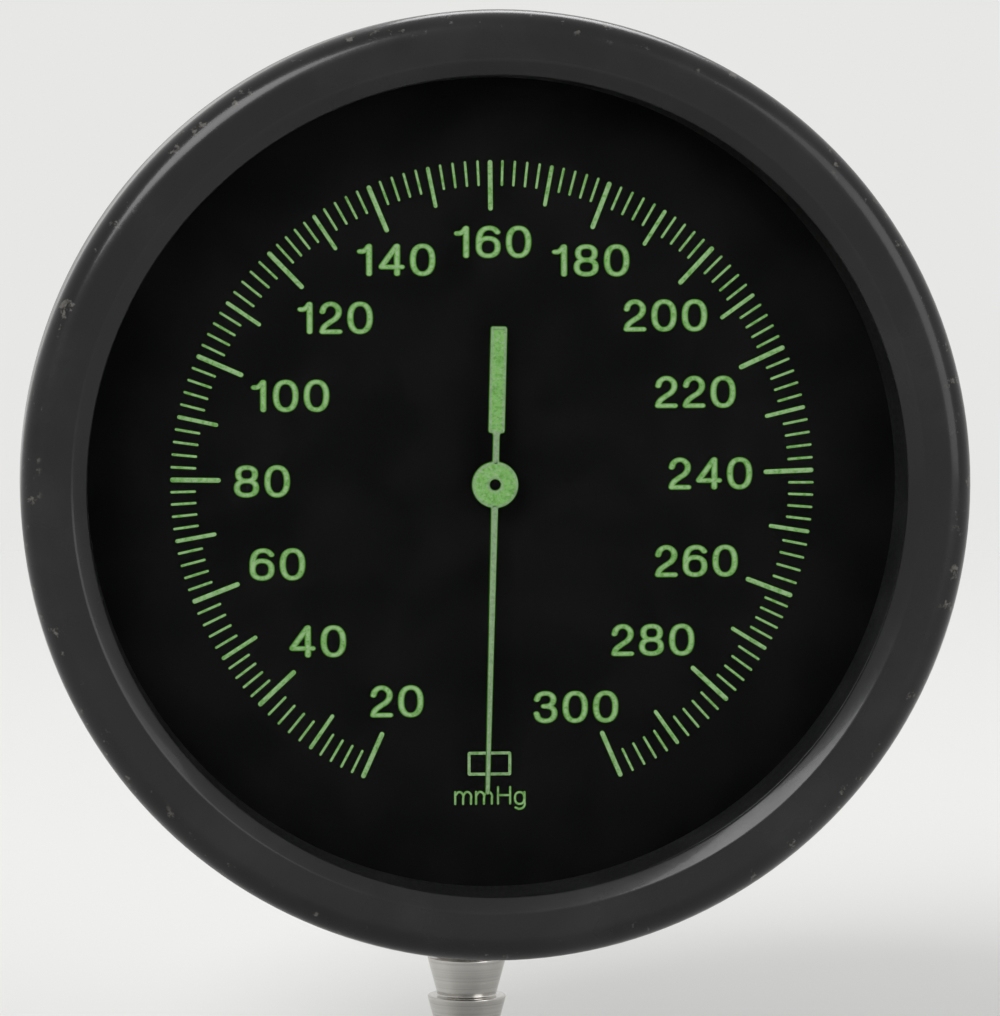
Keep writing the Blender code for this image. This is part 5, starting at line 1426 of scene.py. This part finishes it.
def movement_plates():
    """The lower plate with its two ears, the bridge with its window, and the bushes in them."""
    low, high = heights("upper_plate")
    thickness = high - low
    half_slot = [size / 2 for size in FINGER_SLOT]
    slot_middle = middle("output_finger")[0]
    slot = ring_outline(
        slot_middle - half_slot[0],
        slot_middle + half_slot[0],
        ROCKER_OFFSET - half_slot[1],
        ROCKER_OFFSET + half_slot[1],
    )
    window = [
        *arc((0, 0), WINDOW_RADII[1], *WINDOW_ANGLES, 2 * ARC_STEPS),
        *arc((0, 0), WINDOW_RADII[0], *reversed(WINDOW_ANGLES), 2 * ARC_STEPS),
    ]
    pivot = circle(middle("sector_arbor"), PIVOT_RADIUS + RUNNING_GAP, PIVOT_SIDES)
    bush_hole = circle((0, 0), BUSH_RADIUS + SEAT_GAP)
    outlines = [
        circle((0, 0), half_width("lower_plate"), RING_SIDES),
        bush_hole,
        pivot,
        softened(slot, half_slot[0] / 2),
        circle(middle("hairspring_stud"), SPRING_STUD + SEAT_GAP),
        *holes_at("plate_screw", SCREW_SHANK),
        *holes_at("pillar", PILLAR_SPIGOT),
    ]
    plate = placed(slab(outlines, thickness), at(0, 0, PLATE_TOP - thickness))
    drop = heights("lower_plate")[0] - ROCKER_HEIGHT
    rise = PLATE_TOP - thickness / 2 - ROCKER_HEIGHT
    tongue = softened(ring_outline(-EAR_HALF_WIDTH, EAR_HALF_WIDTH, drop, rise), EAR_CORNER, 6)
    shaft_low, shaft_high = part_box("rocking_shaft")
    ears = []
    for start in (shaft_low.x - SEAT_GAP - EAR_SHEET, shaft_high.x + SEAT_GAP):
        ear = slab([tongue, circle((0, 0), EAR_HOLE)], EAR_SHEET)
        ears.append(placed(ear, ACROSS, at(start, ROCKER_OFFSET, ROCKER_HEIGHT)))
    plate = carved(plate, ears, "UNION")
    finished("main_plate", plate, "brass", "case", "lower_plate", ease=PLATE_EDGE)
    outlines = [
        circle((0, 0), half_width("upper_plate"), RING_SIDES),
        bush_hole,
        pivot,
        softened(window, WINDOW_CORNER),
        *holes_at("bridge_screw", SCREW_SHANK),
    ]
    bridge = placed(slab(outlines, thickness), at(0, 0, low))
    finished("bridge_plate", bridge, "brass", "case", "upper_plate", ease=PLATE_EDGE)
    for word, pivot_radius in (("lower", PIVOT_RADIUS), ("upper", ARBOR_TOP_RADIUS)):
        node = f"pinion_{word}_bush"
        low, high = heights(node)
        bore = pivot_radius + RUNNING_GAP
        ring = ring_outline(bore, BUSH_RADIUS, low, high)
        ring[-1:] = [(bore + OIL_CUP, high), (bore, high - OIL_CUP)]
        turned_piece(f"{word}_bushing", ring, "brass", "case", node)


def sector_wheel():
    """The toothed sector on its arbor, with the pin in its tail. Drawn with +X at the pinion."""
    axis = middle("sector_arbor")
    pin_place = middle("sector_tail_pin")
    facing_pinion = math.atan2(-axis[1], -axis[0])
    pitch = FULL_TURN / SECTOR_WHEEL_TEETH
    half = SECTOR_TEETH * pitch / 2
    root = TOOTH_MODULE * (SECTOR_WHEEL_TEETH / 2 - DEDENDUM_SHARE)
    tail_angle = -facing_pinion % FULL_TURN
    tail_root = math.asin(TAIL_HALF_WIDTH / SECTOR_HUB)
    side_root = half + UPRIGHT / 2
    tail_end = polar(math.dist(pin_place, axis), tail_angle)
    outline = [
        polar(root, -half),
        *toothed(SECTOR_WHEEL_TEETH, SECTOR_TEETH, (1 - SECTOR_TEETH) / 2 * pitch),
        polar(root, half),
        *arc((0, 0), SECTOR_HUB, side_root, tail_angle - tail_root),
        *arc(tail_end, TAIL_HALF_WIDTH, tail_angle - UPRIGHT, tail_angle + UPRIGHT, 2 * ARC_STEPS),
        *arc((0, 0), SECTOR_HUB, tail_angle + tail_root, FULL_TURN - side_root),
    ]
    rim = root - SECTOR_RIM
    inner = SECTOR_HUB + SECTOR_SPOKE
    window = [
        *arc((0, 0), rim, SECTOR_SPOKE / rim - half, half - SECTOR_SPOKE / rim, 4 * ARC_STEPS),
        *arc((0, 0), inner, half - SECTOR_SPOKE / inner, SECTOR_SPOKE / inner - half),
    ]
    holes = [
        softened(window, SECTOR_SPOKE / 3),
        circle((0, 0), SECTOR_ARBOR + RUNNING_GAP, PIVOT_SIDES),
        circle(tail_end, TAIL_PIN + RUNNING_GAP, PIVOT_SIDES),
    ]
    low, high = heights("sector_gear")
    wheel = slab([outline, *holes], high - low)
    placed(wheel, about("Z", facing_pinion - SECTOR_HALF_TURN), at(*axis, low))
    finished("sector_wheel", wheel, "brass", "sector_train", "sector_gear", ease=FINE_EASE / 2)
    base, top = heights("sector_arbor")
    radii = (PIVOT_RADIUS, SECTOR_ARBOR, PIVOT_RADIUS)
    arbor = stepped(0, radii, (base, LOWER_SHOULDER, UPPER_SHOULDER, top))
    turned_piece("sector_spindle", arbor, "steel", "sector_train", "sector_arbor", at(*axis))
    pin = ring_outline(0, TAIL_PIN, *heights("sector_tail_pin"))
    turned_piece("tail_pin", pin, "steel", "sector_train", "sector_tail_pin", at(*pin_place))


def rocker():
    """The rocking shaft with its two fingers, and the cupped screws that its points run in."""
    low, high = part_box("rocking_shaft")
    length = high.x - low.x
    shaft = [(0, 0), (ROCKER_RADIUS, ROCKER_POINT), (ROCKER_RADIUS, length - ROCKER_POINT), (0, length)]
    steps = (about("Y", UPRIGHT), at(low.x, ROCKER_OFFSET, ROCKER_HEIGHT))
    turned_piece("rocker_shaft", shaft, "steel", "rocker", "rocking_shaft", *steps)
    root = math.asin(FINGER_ARM / 2 / FINGER_HUB)
    far, near = INPUT_FOOT_ENDS
    pushed = [
        *arc((0, 0), FINGER_HUB, root - 2 * UPRIGHT, 2 * UPRIGHT - root, 4 * ARC_STEPS),
        (far, FINGER_ARM / 2),
        (far, -INPUT_FOOT),
        (near, -INPUT_FOOT),
        (near, -FINGER_ARM / 2),
    ]
    lift = math.asin(OUTPUT_HALF_ARM / FINGER_HUB)
    tip = (0, OUTPUT_REACH - OUTPUT_HALF_ARM)
    pushing = [
        *arc((0, 0), FINGER_HUB, UPRIGHT + lift, 5 * UPRIGHT - lift, 4 * ARC_STEPS),
        *arc(tip, OUTPUT_HALF_ARM, 0, 2 * UPRIGHT),
    ]
    bore = circle((0, 0), ROCKER_RADIUS + RUNNING_GAP)
    rocked = (ACROSS, about("X", ROCKER_HALF_TURN), at(0, ROCKER_OFFSET, ROCKER_HEIGHT))
    for name, outline, node in (
        ("pushed_finger", pushed, "input_finger"),
        ("pushing_finger", pushing, "output_finger"),
    ):
        finger = slab([softened(outline, FINGER_CORNER), bore], FINGER_WIDTH)
        placed(finger, at(0, 0, -FINGER_WIDTH / 2), *rocked, at(middle(node)[0], 0))
        finished(name, finger, "steel", "rocker", node, ease=FINE_EASE)
    cup = ROCKER_RADIUS * PIVOT_CUP / ROCKER_POINT
    for hand, turn, slot_turn in zip(HANDS, (-UPRIGHT, UPRIGHT), PIVOT_SLOT_TURNS):
        node = f"pivot_screw_{hand}"
        low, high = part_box(node)
        length = high.x - low.x
        start = high.x if hand == "left" else low.x
        line = [(0, PIVOT_CUP), (cup, 0), (PIVOT_SCREW, 0), (PIVOT_SCREW, length), (0, length)]
        screw = slotted(turned(softened(line, FINE_EASE), SMALL_SIDES), PIVOT_SCREW, length, slot_turn)
        placed(screw, about("Y", turn), at(start, ROCKER_OFFSET, ROCKER_HEIGHT))
        finished(f"pivot_bolt_{hand}", screw, "steel", "case", node)


def spiral_spring():
    """The hairspring's flat strip, the split collet at its middle and the stud at its end."""
    low, high = heights("hairspring")
    inside, outside = [], []
    for step in range(SPRING_TURNS * SPRING_STEPS + 1):
        turns = step / SPRING_STEPS
        angle = SPRING_START + FULL_TURN * turns
        radius = SPRING_INNER + SPRING_PITCH * turns
        inside.append(polar(radius, angle))
        outside.append(polar(radius + SPRING_STRIP, angle))
    strip = placed(slab([inside + outside[::-1]], high - low), at(0, 0, low))
    finished("hairspring_strip", strip, "bronze_sheet", "case", "hairspring")
    low, high = heights("hairspring_collet")
    inner, outer = ARBOR_RADIUS + RUNNING_GAP, half_width("hairspring_collet")
    collet = turned(softened(ring_outline(inner, outer, low, high), FINE_EASE), SMALL_SIDES)
    slit = box(outer, COLLET_SLIT, high - low + 2 * OVERRUN)
    placed(slit, at((inner + outer) / 2, 0, low - OVERRUN), about("Z", SPRING_START + 2 * UPRIGHT))
    collet = carved(collet, [slit])
    finished("split_collet", collet, "brass", "pointer_train", "hairspring_collet")
    stud = ring_outline(0, half_width("hairspring_stud"), *heights("hairspring_stud"))
    place = at(*middle("hairspring_stud"))
    turned_piece("spring_stud", stud, "brass", "case", "hairspring_stud", place)


def pale_world():
    """Pale wherever it is seen, mirrored or looked at through the crystal, and dimmer as a light."""
    world = bpy.data.worlds.new("studio")
    world.use_nodes = True
    bpy.context.scene.world = world
    sky = Nodes(world.node_tree)
    rays = sky.tree.nodes.new("ShaderNodeLightPath").outputs
    seen = sky.maths("ADD", rays["Is Camera Ray"], rays["Is Glossy Ray"])
    seen = sky.maths("ADD", seen, rays["Is Transmission Ray"], use_clamp=True)
    strength = sky.node("ShaderNodeMapRange", "Result", {"Value": seen, "To Min": AMBIENT, "To Max": 1.0})
    background = sky.tree.nodes["Background"]
    sky.set(background, "Color", (*PALE, 1))
    sky.set(background, "Strength", strength)


def studio_floor():
    """A round pale floor that keeps the shadow and fades out with distance."""
    made = Finish("studio floor", "stage", PALE, 0.85, Specular_IOR_Level=0.1)
    clear = made.node("ShaderNodeBsdfTransparent", "BSDF", {})
    fade = made.ranged(made.length(made.place), *FLOOR_FADE)
    made.surface(fade, made.shader.outputs["BSDF"], clear)
    shape = bmesh.new()
    bmesh.ops.create_circle(shape, cap_ends=True, segments=RING_SIDES, radius=FLOOR_RADIUS)
    mesh = mesh_from(shape, "studio floor")
    mesh.materials.append(made.material)
    floor = in_scene("studio_floor", mesh)
    floor.location = (0, CASE_BACK, cad_low.z)


def softbox(name, angles, distance, size, share):
    """An area lamp aimed at the gauge."""
    data = bpy.data.lights.new(name, "AREA")
    data.shape = "RECTANGLE"
    data.size, data.size_y = size
    data.energy = share * math.pi**2 * distance**2
    towards = direction(*angles)
    aimed(in_scene(name, data), towards, dial_middle + towards * distance)


case_cup()
bezel_ring()
discs_and_rings()
scale_marks()
scale_numerals()
zero_box()
unit_letters()
gauge_pointer()
pointer_arbor()
hose_fitting()
hook_strip()
back_screws()
inlet_manifold()
capsule()
posts_and_pillars()
movement_plates()
sector_wheel()
rocker()
spiral_spring()
pale_world()
studio_floor()
for lamp, settings in LAMPS.items():
    softbox(lamp, *settings)
bpy.context.scene.view_settings.view_transform = "Standard"
